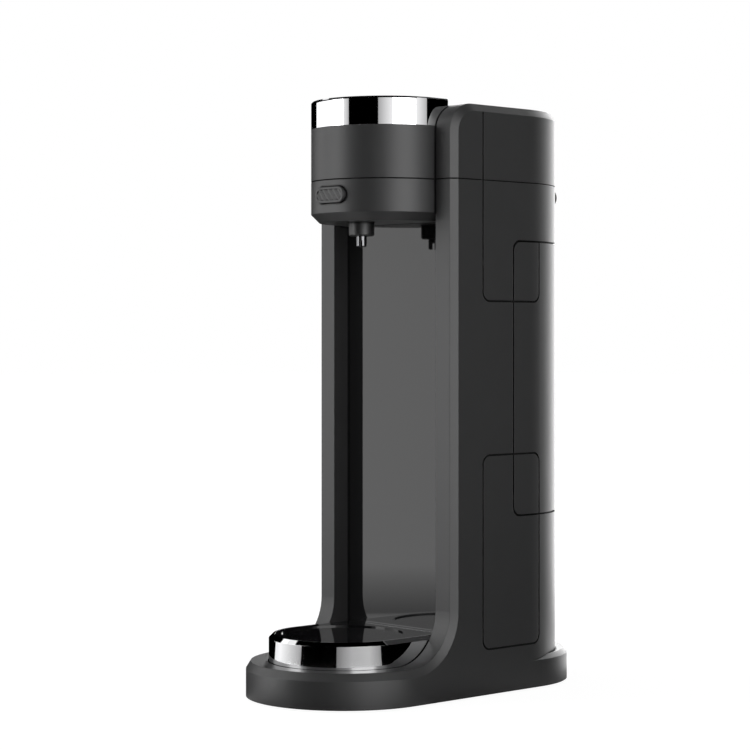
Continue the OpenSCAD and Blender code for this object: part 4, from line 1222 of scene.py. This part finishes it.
FLAG_PANELS: tuple[Panel, ...] = (Panel(-180, 180),)
HOOP_PANELS: tuple[Panel, ...] = (Panel(-180, -14.5),)


@dataclass(frozen=True)
class Lamp:
    """A soft lamp: its direction from the machine, and its power."""

    name: str
    azimuth_deg: float
    elevation_deg: float
    watts: float


@dataclass
class Studio:
    """Floor, reflection sweep, lamps and world."""

    floor_r: float = 12.0
    floor_sides: int = 96
    floor_albedo: float = 0.16
    floor_glow: float = 0.95
    floor_roughness: float = 0.9
    grain_per_m: float = 300.0
    grain_tint: float = 0.02
    sky_level: float = 0.37
    sweep_lift: float = 0.0005
    sweep_step_deg: float = 1.0
    ring_inner_r: float = 0.02
    ring_dark_r: float = 0.10
    ring_dark_gain: float = 0.2
    ring_bright_r: float = 0.14
    ring_outer_r: float = 0.205
    near_r: float = 0.36
    apron_r: float = 0.75
    apron_gain: float = 0.35
    wall_r: float = 1.5
    wall_h: float = 1.3
    flag_r: float = 1.1
    hoop_gap: float = 0.006
    hoop_drop: float = 0.0006
    hoop_h: float = 0.003
    lamps: tuple[Lamp, ...] = (Lamp("key_lamp", -140.0, 35.0, 10.0), Lamp("fill_lamp", 20.0, 20.0, 0.8))
    lamp_side: float = 1.0
    lamp_distance: float = 2.0
    aim: Point = (0.0, 0.0, 0.19)

    @staticmethod
    def background_rays(graph: Graph) -> Wire:
        """Tells the rays that show the background: camera, glossy and transmission rays.

        Args:
            graph: The nodes that ask.

        Returns:
            One for these rays, and nought for the rest.
        """
        rays = [graph.add("ShaderNodeLightPath", output=name)
                for name in ("Is Camera Ray", "Is Glossy Ray", "Is Transmission Ray")]
        return rays[0] | rays[1] | rays[2]

    def world(self) -> None:
        """White to the rays that show the background, and soft to the rest."""
        world = bpy.data.worlds.new("studio")
        world.use_nodes = True
        graph = Graph(world.node_tree)
        level = graph.blend(self.background_rays(graph), (self.sky_level,) * 3, (1.0, 1.0, 1.0))
        sky = graph.add("ShaderNodeBackground", None, {"Color": level, "Strength": 1.0})
        graph.add("ShaderNodeOutputWorld", None, {"Surface": sky})
        bpy.context.scene.world = world

    @staticmethod
    def backdrop(mesh: bpy.types.Mesh, finish: str) -> tuple[bpy.types.Object, Graph]:
        """Puts a mesh in the studio, with a material of its own.

        Args:
            mesh: The mesh, whose name the object takes.
            finish: The material's name.

        Returns:
            The object, and the material's nodes.
        """
        backdrop = stand(mesh)
        material = bpy.data.materials.new(finish)
        material.use_nodes = True
        mesh.materials.append(material)
        return backdrop, Graph(material.node_tree)

    def floor(self) -> None:
        """A white disc that keeps the shadow and glows to white for the background's rays."""
        mesh = bpy.data.meshes.new("floor")
        shape = bmesh.new()
        bmesh.ops.create_circle(shape, cap_ends=True, segments=self.floor_sides, radius=self.floor_r)
        shape.to_mesh(mesh)
        shape.free()
        _, graph = self.backdrop(mesh, "studio_floor")
        grain = graph.noise(self.grain_per_m, octaves=3.0)
        dark, pale = ((self.floor_albedo + tint,) * 3 for tint in (-self.grain_tint, self.grain_tint))
        glow = graph.blend(self.background_rays(graph), (0.0,) * 3, (self.floor_glow,) * 3)
        graph.surface({
            "Base Color": graph.blend(grain, dark, pale),
            "Roughness": self.floor_roughness,
            "Specular IOR Level": 0.0,
            "Emission Color": glow,
            "Emission Strength": 1.0,
        })

    def panel_rows(self) -> list[PanelRow]:
        """Sets the panels' radii and heights round the tray, and a dark hoop by the head's band.

        Returns:
            The rows, from the tray outwards.
        """
        low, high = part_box("tray_ring")
        tray = ((low + high) / 2).xy
        low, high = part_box("chrome_band")
        band_r = (high.x - low.x) / 2
        band = Vector(((low.x + high.x) / 2, low.y + band_r))
        hoop_r, hoop_z = band_r + self.hoop_gap, high.z - self.hoop_drop
        lift = self.sweep_lift
        ring = ((self.ring_inner_r, lift, 0.0), (self.ring_dark_r, lift, self.ring_dark_gain),
                (self.ring_bright_r, lift, 1.0), (self.ring_outer_r, lift, 1.0))
        near = ((self.ring_outer_r, lift, 1.0), (self.near_r, lift, 1.0))
        far = ((self.near_r, lift, self.apron_gain), (self.apron_r, lift, 1.0),
               (self.wall_r, lift, 1.0), (self.wall_r, self.wall_h, 1.0))
        overhead = ((0.0, self.wall_h, 1.0), (self.flag_r, self.wall_h, 1.0))
        hoop = ((hoop_r, hoop_z, 1.0), (hoop_r, hoop_z + self.hoop_h, 1.0))
        return [PanelRow(RING_PANELS, ring, tray), PanelRow(FLOOR_PANELS, near, tray),
                PanelRow(WALL_PANELS, far, tray), PanelRow(FLAG_PANELS, overhead, tray),
                PanelRow(HOOP_PANELS, hoop, band)]

    def sweep_mesh(self) -> bpy.types.Mesh:
        """Joins the panels' steps into one mesh.

        Returns:
            The mesh, with each point's brightness in its level.
        """
        points: list[Point] = []
        faces: list[tuple[int, ...]] = []
        levels: list[float] = []
        for row in self.panel_rows():
            for panel in row.panels:
                for k, (angle, level) in enumerate(panel.steps(self.sweep_step_deg)):
                    across = Vector((math.cos(angle), math.sin(angle)))
                    here = len(points)
                    points += [(*(row.middle + r * across), z) for r, z, _ in row.profile]
                    levels += [level * gain for _, _, gain in row.profile]
                    if k:
                        last = here - len(row.profile)
                        faces += [(last + i, here + i, here + i + 1, last + i + 1)
                                  for i in range(len(row.profile) - 1)]
        mesh = bpy.data.meshes.new("reflection_sweep")
        mesh.from_pydata(points, [], faces)
        colours = mesh.color_attributes.new("level", "FLOAT_COLOR", "POINT")
        for item, level in zip(colours.data, levels):
            item.color = (level, level, level, 1.0)
        return mesh

    def sweep(self) -> None:
        """Rings of pale and dark panels, a dark flag overhead and a hoop, that only reflections see."""
        sweep, graph = self.backdrop(self.sweep_mesh(), "studio_sweep")
        for ray in ("camera", "diffuse", "transmission", "shadow"):
            setattr(sweep, "visible_" + ray, False)
        level = graph.add("ShaderNodeVertexColor", {"layer_name": "level"})
        glow = graph.add("ShaderNodeEmission", None, {"Color": level, "Strength": 1.0})
        graph.add("ShaderNodeOutputMaterial", None, {"Surface": glow})

    def light(self, lamp: Lamp) -> None:
        """Adds a lamp aimed at the machine, which reflections don't show.

        Args:
            lamp: Its direction and power.
        """
        data = bpy.data.lights.new(lamp.name, "AREA")
        data.shape = "SQUARE"
        data.size = self.lamp_side
        data.energy = lamp.watts
        light = stand(data)
        azimuth, elevation = math.radians(lamp.azimuth_deg), math.radians(lamp.elevation_deg)
        away = Vector((math.cos(elevation) * math.cos(azimuth), math.cos(elevation) * math.sin(azimuth),
                       math.sin(elevation)))
        light.location = Vector(self.aim) + self.lamp_distance * away
        light.rotation_euler = away.to_track_quat("Z", "Y").to_euler()
        light.visible_glossy = False

    def build(self) -> None:
        """Sets up the whole studio."""
        self.world()
        self.floor()
        self.sweep()
        for lamp in self.lamps:
            self.light(lamp)
        bpy.context.scene.view_settings.view_transform = "Standard"


def main() -> None:
    """Dresses the model and sets up the studio round it."""
    logging.basicConfig(level=logging.INFO, format="%(name)s: %(message)s")
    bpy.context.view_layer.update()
    wardrobe = Wardrobe()
    wardrobe.dress_nodes()
    for fittings in (Screws, ReturnSpring, ChargePort, BoardParts, MotorEnd):
        fittings(wardrobe).build()
    Studio().build()
    Camera().build()


if __name__ == "__main__":
    main()
